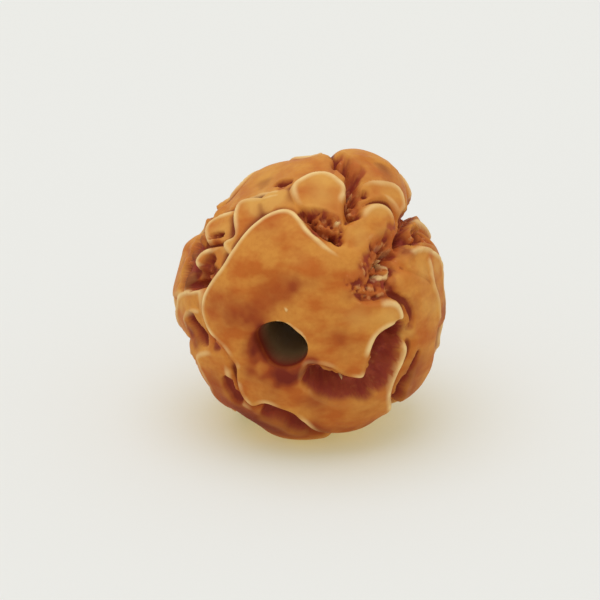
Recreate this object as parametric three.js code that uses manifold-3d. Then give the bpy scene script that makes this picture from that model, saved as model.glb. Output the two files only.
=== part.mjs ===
// A rudraksha seed: one hard, woody stone with natural lobes and clefts, and a hole along its axis.
// Millimetres, +Z up. The hole runs along Y, and the seed stands on its flat spot at z = 0.
//
// The surface is a star shape: along each direction from the middle of the seed it lies at
//   body + relief,
// where body is a sphere with a few broad swells and relief is made of lobes, hollows and clefts.
// Lobes and clefts of the near side are drawn as plain outlines in the plane that faces the viewer.

import * as THREE from "three";
import { mergeVertices } from "three/addons/utils/BufferGeometryUtils.js";
import Module from "manifold-3d";

// Driving dimensions, in millimetres
const CORE_RADIUS = 9.5;
const CENTRE = new THREE.Vector3(-0.04, -0.18, 10.3); // the seed's middle, placed so that Z passes mid-box
const HOLE_RADIUS = 1.75;
const HOLE_DROP = 0.4; // how far the hole runs below the seed's middle
const HOLE_FLARE = 0.15; // how much wider the hole is where it meets the dished ends
const DISH = { radius: 2.3, depth: 0.55 }; // the dip round each mouth of the hole
const AXIAL_SQUEEZE = 0.05; // share by which the seed is shorter along its hole
const UNEVENNESS = { size: 0.1, scale: 0.28, layers: 3, gain: 0.5, seed: 21 };
const LOBE_BLEND = 0.14; // rounding where two lobes meet
const GROOVE_SLOPE = 0.4; // how far a groove's side slopes to each side of its edge
const RIM_WIDTH = 0.22; // half width of the raised bead along a lobe's edge
const EDGE_ROUNDING = 0.3; // least half width of a lobe's edge, so that the facets can follow it

// Size of the mesh
const BALL_DETAIL = 22; // 20 * (BALL_DETAIL + 1)^2 facets
const HOLE_SIDES = 20;

// The near side is drawn as seen from 12.6 degrees to the side of the hole, looking down 24 degrees
const VIEW_TURN = THREE.MathUtils.degToRad(12.6);
const VIEW_RISE = THREE.MathUtils.degToRad(24);
const ACROSS = new THREE.Vector3(Math.cos(VIEW_TURN), Math.sin(VIEW_TURN), 0);
const TOWARD = new THREE.Vector3(
  Math.sin(VIEW_TURN) * Math.cos(VIEW_RISE),
  -Math.cos(VIEW_TURN) * Math.cos(VIEW_RISE),
  Math.sin(VIEW_RISE),
);
const UP = new THREE.Vector3().crossVectors(TOWARD, ACROSS);
const MOUTH_DISTANCE = 8.4; // from the seed's middle to a mouth of the hole
const NEAR_MOUTH = new THREE.Vector3(0, -MOUTH_DISTANCE, -HOLE_DROP).normalize();
const FAR_MOUTH = new THREE.Vector3(0, MOUTH_DISTANCE, -HOLE_DROP).normalize();

// Broad swells of the body: direction in the view (across, up, toward), rise and spread
const SWELLS = [
  { at: [0.44, 0.9, 0], rise: 1.6, spread: 0.31 },
  { at: [-0.8, 0.62, 0.2], rise: -0.95, spread: 0.45 },
  { at: [-0.37, 0.93, 0], rise: 0.35, spread: 0.15 },
  { at: [-1, 0, 0], rise: 0.15, spread: 0.3 },
  { at: [0.7, -0.74, 0], rise: 1, spread: 0.45 },
  { at: [0.5, -0.87, 0], rise: -0.35, spread: 0.14 },
  { at: [-0.5, -0.87, 0], rise: -0.45, spread: 0.16 },
  { at: [-0.52, -0.85, 0], rise: 1.25, spread: 0.42 },
  { at: [0.05, -1, 0.1], rise: 0.55, spread: 0.4 },
  { at: [0.84, 0.56, 0], rise: -0.75, spread: 0.16 },
  { at: [0.94, 0.33, 0], rise: 0.35, spread: 0.14 },
  { at: [-0.218, -0.397, 0.89], rise: -0.65, spread: 0.75 },
];

// Lobes of the near side: outline in the view (across, up), height over the body, lean (rise per mm across
// and up), half width of the rounded edge, steepness of the flank and height of the bead along the edge
const LOBES = [
  {
    // The big smooth face that holds the hole, and curls round the trench from the snout to the lip
    name: "face",
    outline: [
      [-2.1, 6.0], [-3.0, 5.7], [-4.0, 5.0], [-4.9, 4.0], [-5.6, 3.0], [-6.3, 1.9], [-7.1, 0.9],
      [-7.7, -0.1], [-7.9, -1.2], [-7.7, -2.2], [-7.2, -3.1], [-6.4, -3.9], [-5.9, -4.6], [-5.4, -5.5],
      [-5.3, -6.5], [-5.1, -7.4], [-4.7, -8.1], [-4.1, -8.5], [-3.2, -8.2], [-2.1, -8.6], [-1.2, -9.0],
      [-0.4, -9.8], [0.4, -10.3], [1.9, -10.4], [3.4, -10.4], [4.7, -10.2], [5.7, -9.8], [6.2, -9.0],
      [6.1, -8.0], [6.2, -7.0], [6.6, -5.9], [7.0, -5.0], [7.2, -4.2], [7.0, -3.6], [6.6, -3.3],
      [6.4, -4.0], [6.2, -4.9], [5.8, -6.1], [5.2, -6.8], [4.1, -7.2], [3.0, -7.5], [1.8, -7.8],
      [0.7, -7.5], [0.1, -6.8], [-0.3, -6.1], [-0.1, -5.4], [0.7, -5.4], [1.7, -5.7], [2.7, -6.2],
      [3.9, -6.3], [4.2, -5.4], [4.5, -4.3], [4.9, -3.3], [5.6, -2.7], [6.4, -2.5], [6.9, -2.2],
      [6.9, -1.5], [6.5, -0.8], [5.7, -0.6], [4.7, -0.8], [3.8, -0.7], [3.3, 0.1], [3.2, 1.2], [2.9, 2.0],
      [2.1, 2.8], [1.4, 3.3], [0.7, 3.9], [-0.1, 4.6], [-0.7, 5.4], [-1.3, 5.9],
    ],
    height: 0.6, lean: [0, 0], edge: 0.26, steep: 2.6, rim: 0.07,
  },
  {
    name: "bridge from face to shoulder",
    outline: [
      [0.8, 3.2], [2.0, 3.6], [3.6, 3.2], [4.3, 2.2], [4.2, 1.0], [3.8, -0.2], [2.6, -0.6], [1.2, 0.6],
      [0.2, 2.2],
    ],
    height: 0.63, lean: [0, 0], edge: 0.6, steep: 1.2, rim: 0,
  },
  {
    name: "bridge from face to heel",
    outline: [
      [-9.0, -3.8], [-8.0, -3.5], [-7.0, -3.4], [-6.0, -3.2], [-5.0, -3.8], [-4.9, -4.8], [-5.7, -5.5],
      [-6.7, -6.0], [-7.8, -5.6], [-8.8, -4.9],
    ],
    height: 0.52, lean: [0, 0], edge: 0.55, steep: 1.2, rim: 0,
  },
  {
    name: "shoulder",
    outline: [
      [2.7, 4.7], [3.2, 5.0], [3.7, 5.6], [4.0, 6.0], [4.5, 6.3], [5.2, 6.3], [5.8, 5.9], [6.2, 5.2],
      [6.3, 4.4], [5.7, 4.3], [5.0, 4.0], [4.5, 3.4], [4.5, 2.5], [4.1, 1.8], [3.7, 1.0], [3.0, 0.0],
      [1.0, -0.2], [1.0, 2.2], [2.0, 3.0], [2.5, 3.6],
    ],
    height: 0.55, lean: [0.03, 0.07], edge: 0.28, steep: 2.2, rim: 0.05,
  },
  {
    name: "tongue",
    outline: [
      [-1.3, 7.2], [-1.1, 7.7], [-0.5, 8.1], [0.2, 8.4], [1.0, 8.5], [1.7, 8.3], [2.3, 7.9], [2.7, 7.5],
      [2.7, 7.0], [2.5, 6.6], [2.5, 5.9], [2.6, 5.0], [2.7, 3.8], [2.3, 3.8], [2.0, 4.6], [1.9, 5.3],
      [1.2, 5.7], [0.2, 5.9], [-0.4, 5.9], [-1.0, 6.4],
    ],
    height: 0.6, lean: [0, 0.17], edge: 0.24, steep: 2.4, rim: 0.09,
  },
  {
    name: "crown",
    outline: [
      [1.3, 11.5], [1.4, 10.4], [1.9, 9.6], [2.4, 8.8], [2.7, 8.2], [0.8, 7.9], [-1.0, 7.4], [-2.9, 7.3],
      [-4.4, 6.9], [-5.4, 6.2], [-6.5, 5.5], [-7.3, 4.6], [-7.7, 3.8], [-8.8, 4.6], [-8.8, 6.6],
      [-7.6, 8.6], [-6.0, 10.5], [-3.0, 12.0], [0.5, 12.3],
    ],
    height: 0.42, lean: [0.02, 0.03], edge: 0.4, steep: 1.6, rim: 0.02,
  },
  {
    name: "band",
    outline: [
      [-3.5, 6.8], [-2.5, 7.4], [-1.4, 7.4], [-0.7, 6.8], [-0.4, 5.9], [-1.4, 5.7], [-2.1, 5.8],
      [-3.0, 5.6],
    ],
    height: 0.46, lean: [0, 0.05], edge: 0.6, steep: 0.9, rim: 0,
  },
  {
    name: "upper scallop",
    outline: [
      [-2.9, 6.8], [-3.8, 6.8], [-4.5, 6.6], [-5.0, 6.2], [-5.3, 5.6], [-5.4, 4.9], [-5.4, 4.1],
      [-5.9, 3.7], [-6.1, 3.4], [-6.0, 3.0], [-5.4, 2.6], [-4.4, 4.2], [-3.3, 5.3], [-2.1, 5.9],
      [-1.8, 6.4],
    ],
    height: 0.38, lean: [-0.17, 0.14], edge: 0.2, steep: 2.4, rim: 0.09,
  },
  {
    name: "outer scallop",
    outline: [
      [-7.2, 3.6], [-7.2, 4.2], [-6.9, 4.8], [-6.4, 5.3], [-5.8, 5.7], [-5.1, 6.1], [-4.4, 6.8],
      [-3.5, 7.2], [-3.0, 6.8], [-4.4, 5.7], [-5.3, 4.4], [-6.0, 3.7], [-7.0, 3.5],
    ],
    height: 0.28, lean: [-0.18, 0.14], edge: 0.2, steep: 2.4, rim: 0.09,
  },
  {
    name: "lower scallop",
    outline: [
      [-6.1, 3.3], [-7.0, 3.2], [-7.6, 2.9], [-8.0, 2.4], [-8.1, 1.9], [-7.7, 1.5], [-7.0, 1.9],
      [-6.4, 1.5], [-5.4, 2.8],
    ],
    height: 0.45, lean: [-0.12, 0.14], edge: 0.22, steep: 2.4, rim: 0.08,
  },
  {
    name: "left flank",
    outline: [
      [-8.0, 4.1], [-8.5, 4.9], [-9.6, 5.0], [-10.9, 4.0], [-11.2, 1.5], [-11.0, -0.5], [-9.1, 0.0],
      [-8.9, 1.2], [-8.6, 2.3], [-8.4, 3.2],
    ],
    height: 0.75, lean: [0, 0], edge: 0.3, steep: 2, rim: 0.04,
  },
  {
    name: "left knob",
    outline: [
      [-7.7, 0.1], [-8.4, 0.2], [-9.0, 0.1], [-9.6, -0.3], [-9.9, -0.9], [-10.5, -1.8], [-10.6, -2.8],
      [-9.9, -3.5], [-8.9, -3.6], [-8.1, -3.7], [-7.3, -3.9], [-7.5, -2.8], [-7.7, -1.3],
    ],
    height: 0.38, lean: [-0.1, 0.1], edge: 0.22, steep: 2.4, rim: 0.09,
  },
  {
    name: "heel",
    outline: [
      [-8.2, -4.4], [-8.1, -5.4], [-7.8, -6.1], [-7.6, -6.8], [-7.6, -7.6], [-7.2, -8.6], [-6.2, -9.8],
      [-4.8, -10.8], [-3.2, -11.4], [-2.4, -9.6], [-3.8, -8.8], [-5.0, -8.0], [-5.5, -6.8], [-5.7, -5.6],
      [-6.0, -4.4], [-7.3, -4.1],
    ],
    height: 0.45, lean: [-0.03, 0.03], edge: 0.35, steep: 1.6, rim: 0.045,
  },
  {
    name: "underside",
    outline: [
      [-6.0, -9.4], [-5.0, -9.3], [-4.0, -9.2], [-2.6, -9.6], [-1.2, -10.2], [0.0, -10.9], [1.5, -11.2],
      [1.2, -12.5], [-3.0, -12.6], [-6.0, -11.4], [-7.8, -9.8],
    ],
    height: 0.42, lean: [0, 0], edge: 0.5, steep: 1.3, rim: 0,
  },
  {
    name: "cheek",
    outline: [
      [6.1, 0.7], [6.5, 1.2], [7.2, 1.5], [7.9, 1.3], [8.8, 1.0], [9.3, 0.5], [9.6, -0.4], [9.7, -1.5],
      [9.7, -2.4], [9.6, -3.6], [9.6, -5.0], [9.6, -6.1], [9.0, -7.5], [7.6, -8.7], [6.4, -8.9],
      [6.3, -7.6], [6.8, -6.1], [7.6, -4.6], [7.7, -3.4], [7.1, -2.4], [7.1, -1.3], [6.7, -0.4],
    ],
    height: 0.48, lean: [0.03, 0], edge: 0.5, steep: 1.4, rim: 0,
  },
  {
    name: "ear",
    outline: [
      [7.0, 2.2], [7.2, 2.7], [7.6, 3.1], [8.2, 3.3], [8.9, 3.1], [9.4, 2.7], [9.9, 2.1], [10.0, 1.6],
      [10.3, 0.5], [10.7, -0.6], [10.7, -2.1], [9.9, -2.8], [9.3, -1.3], [9.0, 0.5], [8.2, 1.1], [7.3, 1.5],
    ],
    height: 0.55, lean: [0.06, 0.1], edge: 0.22, steep: 2.4, rim: 0.09,
  },
  {
    name: "right flank",
    outline: [
      [7.0, 5.5], [7.1, 3.9], [7.9, 3.5], [8.8, 3.3], [9.5, 2.8], [10.4, 2.6], [11.3, 3.6], [10.6, 5.4],
      [8.9, 6.9], [7.6, 6.6],
    ],
    height: 0.4, lean: [0, 0], edge: 0.3, steep: 2, rim: 0,
  },
  {
    name: "inner arch",
    outline: [
      [3.6, 7.4], [4.0, 7.9], [4.6, 8.2], [5.4, 8.3], [6.1, 8.0], [6.6, 7.4], [6.9, 6.7], [7.0, 6.0],
      [6.6, 5.6], [6.2, 6.2], [5.6, 6.7], [4.7, 6.7], [3.9, 6.5], [3.5, 6.8],
    ],
    height: 0.45, lean: [0.06, 0.2], edge: 0.2, steep: 2.4, rim: 0.09,
  },
  {
    name: "poll",
    outline: [
      [2.3, 10.4], [3.0, 9.8], [3.6, 9.2], [4.0, 8.5], [4.9, 8.1], [6.1, 7.9], [6.9, 7.2], [7.2, 6.4],
      [8.2, 7.2], [8.0, 8.9], [6.4, 10.9], [3.8, 12.4], [2.1, 12.4],
    ],
    height: 0.45, lean: [0, 0], edge: 0.4, steep: 1.8, rim: 0,
  },
];

// Clefts and grooves of the near side: line in the view, half width and depth
const GROOVES = [
  {
    name: "trench",
    line: [
      [0.5, -6.3], [1.5, -6.9], [2.9, -7.1], [4.1, -6.9], [5.1, -6.0], [5.6, -4.7], [5.9, -3.5],
      [6.5, -2.9],
    ],
    width: 0.82, depth: 1.8,
  },
  {
    name: "top cleft",
    line: [[2.2, 9.9], [2.8, 9.4], [3.4, 8.7], [3.1, 7.7], [3.1, 6.6], [3.2, 5.9], [3.3, 5.4]],
    width: 0.42, depth: 0.7,
  },
  { name: "top cleft mouth", line: [[2.3, 9.7], [2.8, 9.4], [3.4, 9.0]], width: 0.62, depth: 0.3 },
  { name: "top cleft, side branch", line: [[3.3, 6.8], [4.0, 7.0]], width: 0.2, depth: 0.4 },
  {
    name: "right cleft",
    line: [[9.3, 4.0], [8.3, 4.1], [7.3, 4.0], [6.3, 3.3], [5.6, 2.4], [4.9, 1.4]],
    width: 0.5, depth: 0.7,
  },
  {
    name: "right cleft, lower branch",
    line: [[5.8, 2.4], [6.0, 1.5], [5.9, 0.4], [6.1, -0.2], [6.9, -0.7], [7.3, -1.6], [7.3, -2.6]],
    width: 0.42, depth: 0.65,
  },
  {
    name: "right cleft, upper branch",
    line: [[9.2, 7.2], [8.0, 6.0], [7.1, 5.3], [7.0, 4.6], [6.8, 3.9]],
    width: 0.4, depth: 1,
  },
  { name: "brow pit", line: [[-0.4, 5.5], [0.4, 5.0], [1.2, 4.4], [2.0, 3.6]], width: 0.38, depth: 0.6 },
  {
    name: "brow pit, upper side",
    line: [[0.3, 5.4], [1.3, 5.2], [1.9, 4.9], [2.0, 4.2]],
    width: 0.42, depth: 0.38,
  },
  {
    name: "left cleft",
    line: [[-8.0, 4.2], [-8.1, 3.4], [-8.5, 2.4], [-8.6, 1.3], [-8.7, 0.5]],
    width: 0.4, depth: 1.1,
  },
  { name: "left pit", line: [[-7.0, 2.2], [-7.6, 1.5], [-7.7, 0.8], [-8.2, 0.4]], width: 0.42, depth: 0.9 },
  {
    name: "left hollow",
    line: [[-8.5, -2.0], [-8.2, -2.5], [-7.9, -3.0], [-7.5, -3.5]],
    width: 0.42, depth: 0.8,
  },
  { name: "low pit", line: [[-2.9, -9.0], [-1.8, -9.4], [-0.8, -10.1]], width: 0.55, depth: 1.1 },
  { name: "heel groove", line: [[-5.8, -6.4], [-5.7, -7.1], [-5.3, -7.8]], width: 0.4, depth: 0.6 },
  {
    name: "cheek groove",
    line: [[7.5, -5.1], [7.0, -6.4], [6.5, -7.8], [6.4, -9.2], [7.2, -10.6]],
    width: 0.4, depth: 1,
  },
  { name: "scallop pit", line: [[-6.8, 3.9], [-6.3, 4.1]], width: 0.24, depth: 0.4 },
  { name: "crown nick", line: [[-2.2, 7.9], [-1.5, 8.0]], width: 0.32, depth: 0.6 },
];

// Shallow hollows of the near side (low rises where the depth is negative): place, radius and depth
const HOLLOWS = [
  { at: [-2.8, 0], radius: 1.8, depth: 0.36 },
  { at: [2.6, -3.8], radius: 1.5, depth: 0.32 },
  { at: [-3.5, -4], radius: 1.1, depth: 1 },
  { at: [-1.8, 2.6], radius: 1.6, depth: 0.16 },
  { at: [0.6, 1.2], radius: 1.3, depth: -0.12 },
  { at: [-5.6, -1.8], radius: 1, depth: -0.12 },
  { at: [4.4, -8.9], radius: 1.5, depth: -0.15 },
  { at: [0.4, -8.6], radius: 1.2, depth: 0.15 },
  { at: [-2.6, -6.6], radius: 1.3, depth: -0.15 },
  { at: [5.2, -1.8], radius: 0.8, depth: -0.15 },
  { at: [8.4, -2.6], radius: 1.6, depth: 0.25 },
  { at: [-3.2, 8.2], radius: 1.5, depth: 0.25 },
  { at: [5.4, 9.6], radius: 1.4, depth: 0.2 },
  { at: [-11.4, -5], radius: 1.5, depth: 1 },
  { at: [-10, -4.2], radius: 1, depth: 0.3 },
  { at: [8.3, 5.9], radius: 1.3, depth: 0.8 },
  { at: [10.8, 0.3], radius: 1.4, depth: 0.3 },
  { at: [10.3, -3.4], radius: 1.2, depth: 0.25 },
  { at: [-8.5, 4.9], radius: 1, depth: 0.3 },
  { at: [-9.6, 5.4], radius: 1.2, depth: 0.5 },
  { at: [-9.8, 3.9], radius: 1, depth: -0.35 },
  { at: [0.6, 11.6], radius: 1.6, depth: 0.6 },
  { at: [-6.4, 8.6], radius: 1.3, depth: 0.35 },
  { at: [-7, 6], radius: 0.8, depth: -0.35 },
  { at: [6.3, -10.4], radius: 1.4, depth: 1.1 },
  { at: [-5.4, -10.8], radius: 1.3, depth: 0.6 },
];

// Patches of the near side where the surface is worn away and ragged: place, radius and depth
const PATCHES = [
  { at: [6.4, 4.2], radius: 1.2, depth: 0.18 },
  { at: [5.8, 2.4], radius: 1.3, depth: 0.2 },
  { at: [4.1, 0.3], radius: 1.2, depth: 0.12 },
  { at: [5.3, 0.6], radius: 1, depth: 0.18 },
  { at: [-9, 2.6], radius: 1.4, depth: 0.14 },
  { at: [-7.7, 1.2], radius: 0.8, depth: 0.18 },
  { at: [3.1, 7.4], radius: 0.8, depth: 0.16 },
  { at: [2.7, 9.5], radius: 1, depth: 0.18 },
  { at: [-8.3, 3.2], radius: 0.7, depth: 0.2 },
  { at: [-8.6, 1.9], radius: 0.8, depth: 0.2 },
  { at: [-6.9, -3.9], radius: 0.6, depth: 0.1 },
  { at: [1, 4.8], radius: 1, depth: 0.18 },
  { at: [-2, 7.9], radius: 0.5, depth: 0.1 },
  { at: [0.2, -6.4], radius: 0.9, depth: 0.1 },
];

// The six clefts run on over the far side, from where the near side leaves them to the far mouth:
// longitude about the hole, the angle from the near mouth where each starts, and its drift, in degrees
const FAR_CLEFTS = [
  { longitude: 87, start: 121, drift: -8 },
  { longitude: 41, start: 112, drift: -24 },
  { longitude: -48, start: 77, drift: -6 },
  { longitude: -114, start: 76, drift: 0 },
  { longitude: -159, start: 62, drift: -2 },
  { longitude: 151, start: 84, drift: -5 },
];
const FAR_CLEFT = { end: 170, step: 13, sway: 14, width: 0.42, depth: 1.2 };

// The lobes of the far side are spread evenly by a spiral, each with a drawn outline of its own
const FAR_LOBES = {
  spiral: 78, // points of the spiral over the whole seed, of which the far ones are used
  limit: -0.07, // cosine of the angle from the viewer past which lobes are laid by rule
  jitter: 0.1,
  radius: 2.35,
  spread: [0.85, 1.2], // least and greatest size of a lobe, as a share of that radius
  length: 1.15, // how much longer a lobe is along the seed's meridians
  corners: 20,
  waves: [[2, 0.16], [3, 0.12], [5, 0.07]], // waves round the outline and their height
  height: [0.35, 0.7],
  lean: [0.11, 0.19],
  twist: [-0.08, 0.08],
  // Lobes near the outline that the viewer sees are lower: least share, and where they reach full height
  low: 0.35,
  lowest: 0.05,
  full: 0.4,
  edge: 0.22,
  steep: 2.2,
  rim: 0.09,
};

// A value from 0 to 1 with no visible order, always the same for the same numbers
const SCATTER = [127.1, 311.7, 74.7, 53.3];
const SCATTER_GAIN = 43758.5453;
function scattered(...numbers) {
  const v = SCATTER_GAIN * Math.sin(numbers.reduce((sum, number, i) => sum + number * SCATTER[i], 0));
  return v - Math.floor(v);
}

// The k-th property of the i-th thing in a row of things laid by rule
function draw(i, k) {
  return scattered(i, k, 1);
}

// Smooth three-dimensional noise, about -1 to 1
function noise(x, y, z, seed) {
  const cell = [Math.floor(x), Math.floor(y), Math.floor(z)];
  const fade = [x - cell[0], y - cell[1], z - cell[2]].map((t) => t * t * t * (t * (t * 6 - 15) + 10));
  let sum = 0;
  for (const dx of [0, 1]) {
    for (const dy of [0, 1]) {
      for (const dz of [0, 1]) {
        const weight =
          (dx ? fade[0] : 1 - fade[0]) * (dy ? fade[1] : 1 - fade[1]) * (dz ? fade[2] : 1 - fade[2]);
        sum += weight * (2 * scattered(cell[0] + dx, cell[1] + dy, cell[2] + dz, seed) - 1);
      }
    }
  }
  return sum;
}

// Noise in layers, each about twice as fine as the last and weaker by the gain
const LAYER_STEP = 2.03;
function layeredNoise(direction, { scale, layers, gain, seed }) {
  let sum = 0;
  let strength = 1;
  for (let layer = 0; layer < layers; layer++) {
    const s = CORE_RADIUS * scale * LAYER_STEP ** layer;
    sum += strength * noise(direction.x * s, direction.y * s, direction.z * s, seed + layer);
    strength *= gain;
  }
  return sum;
}

// A direction given as across, up and toward in the view
function inView([across, up, toward]) {
  return new THREE.Vector3()
    .addScaledVector(ACROSS, across)
    .addScaledVector(UP, up)
    .addScaledVector(TOWARD, toward)
    .normalize();
}

const swells = SWELLS.map((swell) => ({ ...swell, direction: inView(swell.at) }));

function bodyRadius(direction) {
  let radius = CORE_RADIUS;
  for (const { direction: middle, rise, spread } of swells) {
    radius += rise * Math.exp(-(1 - direction.dot(middle)) / spread ** 2);
  }
  return radius * (1 - AXIAL_SQUEEZE * direction.y ** 2);
}

// The direction from the middle of the seed to the point of its near side that is seen at (across, up).
// Points drawn beyond the seed's outline fold round to its far side.
const GROOVE_HEIGHT = 0.2; // height over the body at which grooves are drawn
const HOLLOW_HEIGHT = 0.5; // height over the body at which hollows are drawn
const LIMB = 0.97; // share of the radius where the fold begins
const FOLD = 1.8;
function lift([across, up], height) {
  const offset = Math.hypot(across, up) + 1e-9;
  let direction;
  let radius = CORE_RADIUS + height;
  for (let pass = 0; pass < 4; pass++) {
    const share = offset / radius;
    const angle = share < LIMB ? Math.asin(share) : Math.asin(LIMB) + (share - LIMB) * FOLD;
    const sine = Math.sin(angle) / offset;
    direction = inView([across * sine, up * sine, Math.cos(angle)]);
    radius = bodyRadius(direction) + height;
  }
  return direction;
}

// Points along a smooth curve through the given ones
function smoothLine(points, closed, steps) {
  const through = points.map(([x, y]) => new THREE.Vector3(x, y, 0));
  const curve = new THREE.CatmullRomCurve3(through, closed, "catmullrom", 0.5);
  const count = steps * (closed ? points.length : points.length - 1);
  return curve.getPoints(count).slice(0, closed ? count : count + 1).map(({ x, y }) => [x, y]);
}

function middleOf(directions) {
  return directions.reduce((sum, d) => sum.add(d), new THREE.Vector3()).normalize();
}

// A flat map of the surface round a middle direction, true to distance from that middle
class FlatMap {
  constructor(middle, axis) {
    this.middle = middle;
    this.right = axis.clone().addScaledVector(middle, -axis.dot(middle)).normalize();
    this.ahead = new THREE.Vector3().crossVectors(middle, this.right);
  }

  place(direction) {
    const x = direction.dot(this.right);
    const y = direction.dot(this.ahead);
    const stretch = (CORE_RADIUS * direction.angleTo(this.middle)) / Math.max(Math.hypot(x, y), 1e-9);
    return [x * stretch, y * stretch];
  }
}

// Distance from a point to a closed outline, positive inside it
function distanceInside([x, y], outline) {
  let nearest = Infinity;
  let inside = false;
  outline.forEach(([ax, ay], i) => {
    const [bx, by] = outline[(i + 1) % outline.length];
    const along = ((x - ax) * (bx - ax) + (y - ay) * (by - ay)) / ((bx - ax) ** 2 + (by - ay) ** 2);
    const t = THREE.MathUtils.clamp(along, 0, 1);
    nearest = Math.min(nearest, Math.hypot(x - ax - t * (bx - ax), y - ay - t * (by - ay)));
    if (ay > y !== by > y && x < ax + ((y - ay) * (bx - ax)) / (by - ay)) inside = !inside;
  });
  return inside ? nearest : -nearest;
}

function smoothMax(a, b, blend) {
  const t = THREE.MathUtils.clamp(0.5 + (0.5 * (b - a)) / blend, 0, 1);
  return a * (1 - t) + b * t + blend * t * (1 - t);
}

// A lobe with its flat map, its outline on that map, and the cosine of the angle that it reaches over
const SKIRT = 1.5; // how far round its outline a lobe's flank can matter
function placedLobe(lobe, map, outline) {
  const reach = Math.max(...outline.map(([x, y]) => Math.hypot(x, y))) + SKIRT;
  return { ...lobe, map, outline, reach: Math.cos(Math.min(reach / CORE_RADIUS, Math.PI)) };
}

function nearLobe(lobe) {
  const directions = smoothLine(lobe.outline, true, 4).map((point) => lift(point, lobe.height));
  const map = new FlatMap(middleOf(directions), ACROSS);
  return placedLobe(lobe, map, directions.map((direction) => map.place(direction)));
}

function between([least, greatest], share) {
  return least + (greatest - least) * share;
}

// The far side's lobes lie like shingles: each leans up away from the nearer mouth
function farLobes() {
  const goldenAngle = Math.PI * (3 - Math.sqrt(5));
  const made = [];
  for (let i = 0; i < FAR_LOBES.spiral; i++) {
    const toward = 1 - (2 * (i + 0.5)) / FAR_LOBES.spiral;
    if (toward > FAR_LOBES.limit) continue;
    const turn = i * goldenAngle;
    const side = Math.sqrt(1 - toward ** 2);
    const shift = new THREE.Vector3(draw(i, 1) - 0.5, draw(i, 2) - 0.5, draw(i, 3) - 0.5);
    const middle = inView([side * Math.cos(turn), side * Math.sin(turn), toward])
      .addScaledVector(shift, FAR_LOBES.jitter)
      .normalize();
    const outline = [];
    for (let corner = 0; corner < FAR_LOBES.corners; corner++) {
      const a = (corner / FAR_LOBES.corners) * 2 * Math.PI;
      let wave = 1;
      FAR_LOBES.waves.forEach(([turns, size], n) => {
        wave += size * Math.cos(turns * a + 2 * Math.PI * draw(i, 5 + n));
      });
      const radius = FAR_LOBES.radius * between(FAR_LOBES.spread, draw(i, 4)) * wave;
      outline.push([FAR_LOBES.length * radius * Math.cos(a), radius * Math.sin(a)]);
    }
    const away = new THREE.Vector3(0, middle.y > 0 ? -1 : 1, 0);
    const rise = (-toward - FAR_LOBES.lowest) / (FAR_LOBES.full - FAR_LOBES.lowest);
    const strength = between([FAR_LOBES.low, 1], THREE.MathUtils.clamp(rise, 0, 1));
    const lobe = {
      height: strength * between(FAR_LOBES.height, draw(i, 8)),
      lean: [
        strength * between(FAR_LOBES.lean, draw(i, 9)),
        strength * between(FAR_LOBES.twist, draw(i, 10)),
      ],
      edge: FAR_LOBES.edge,
      steep: FAR_LOBES.steep,
      rim: FAR_LOBES.rim,
    };
    made.push(placedLobe(lobe, new FlatMap(middle, away), smoothLine(outline, true, 3)));
  }
  return made;
}

function lobeTop(lobe, direction) {
  const [x, y] = lobe.map.place(direction);
  const inside = distanceInside([x, y], lobe.outline);
  const edge = Math.max(lobe.edge, EDGE_ROUNDING);
  let drop = 0;
  if (inside <= -edge) drop = -lobe.steep * inside;
  else if (inside < edge) drop = (lobe.steep * (edge - inside) ** 2) / (4 * edge);
  const bead = lobe.rim * Math.exp(-(((inside - edge) / RIM_WIDTH) ** 2));
  return lobe.height + lobe.lean[0] * x + lobe.lean[1] * y - drop + bead;
}

// A groove as a chain of directions, with its middle and the cosine of the angle that it reaches over
const GROOVE_SIDES = 4; // how many slope widths to each side of a groove still matter
function placedGroove(groove, chain) {
  const middle = middleOf(chain);
  const sides = (groove.width + GROOVE_SIDES * GROOVE_SLOPE) / CORE_RADIUS;
  const reach = Math.max(...chain.map((d) => d.angleTo(middle))) + sides;
  return { ...groove, chain, middle, reach: Math.cos(Math.min(reach, Math.PI)) };
}

function nearGroove(groove) {
  return placedGroove(groove, smoothLine(groove.line, false, 4).map((point) => lift(point, GROOVE_HEIGHT)));
}

function aboutHole(angle, longitude) {
  const a = THREE.MathUtils.degToRad(angle);
  const b = THREE.MathUtils.degToRad(longitude);
  return new THREE.Vector3(Math.sin(a) * Math.cos(b), -Math.cos(a), Math.sin(a) * Math.sin(b));
}

function farGroove({ longitude, start, drift }, index) {
  const span = FAR_CLEFT.end - start;
  const steps = Math.max(4, Math.floor(span / FAR_CLEFT.step));
  const chain = [aboutHole(start, longitude)];
  for (let k = 1; k <= steps; k++) {
    const sway = FAR_CLEFT.sway * (draw(index + 60, k) - 0.5);
    chain.push(aboutHole(start + (span * k) / steps, longitude + (drift * k) / steps + sway));
  }
  return placedGroove(FAR_CLEFT, chain);
}

const link = new THREE.Line3();
const foot = new THREE.Vector3();
function distanceToChain(direction, chain) {
  let nearest = Infinity;
  for (let i = 0; i < chain.length - 1; i++) {
    link.set(chain[i], chain[i + 1]).closestPointToPoint(direction, true, foot);
    nearest = Math.min(nearest, foot.distanceTo(direction));
  }
  return nearest * CORE_RADIUS;
}

// How much a groove cuts away: its full depth along its line, and less and less over its sloping sides
function grooveCut(groove, direction) {
  const off = distanceToChain(direction, groove.chain) - groove.width;
  return groove.depth / (1 + Math.exp((2 * off) / GROOVE_SLOPE));
}

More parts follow.
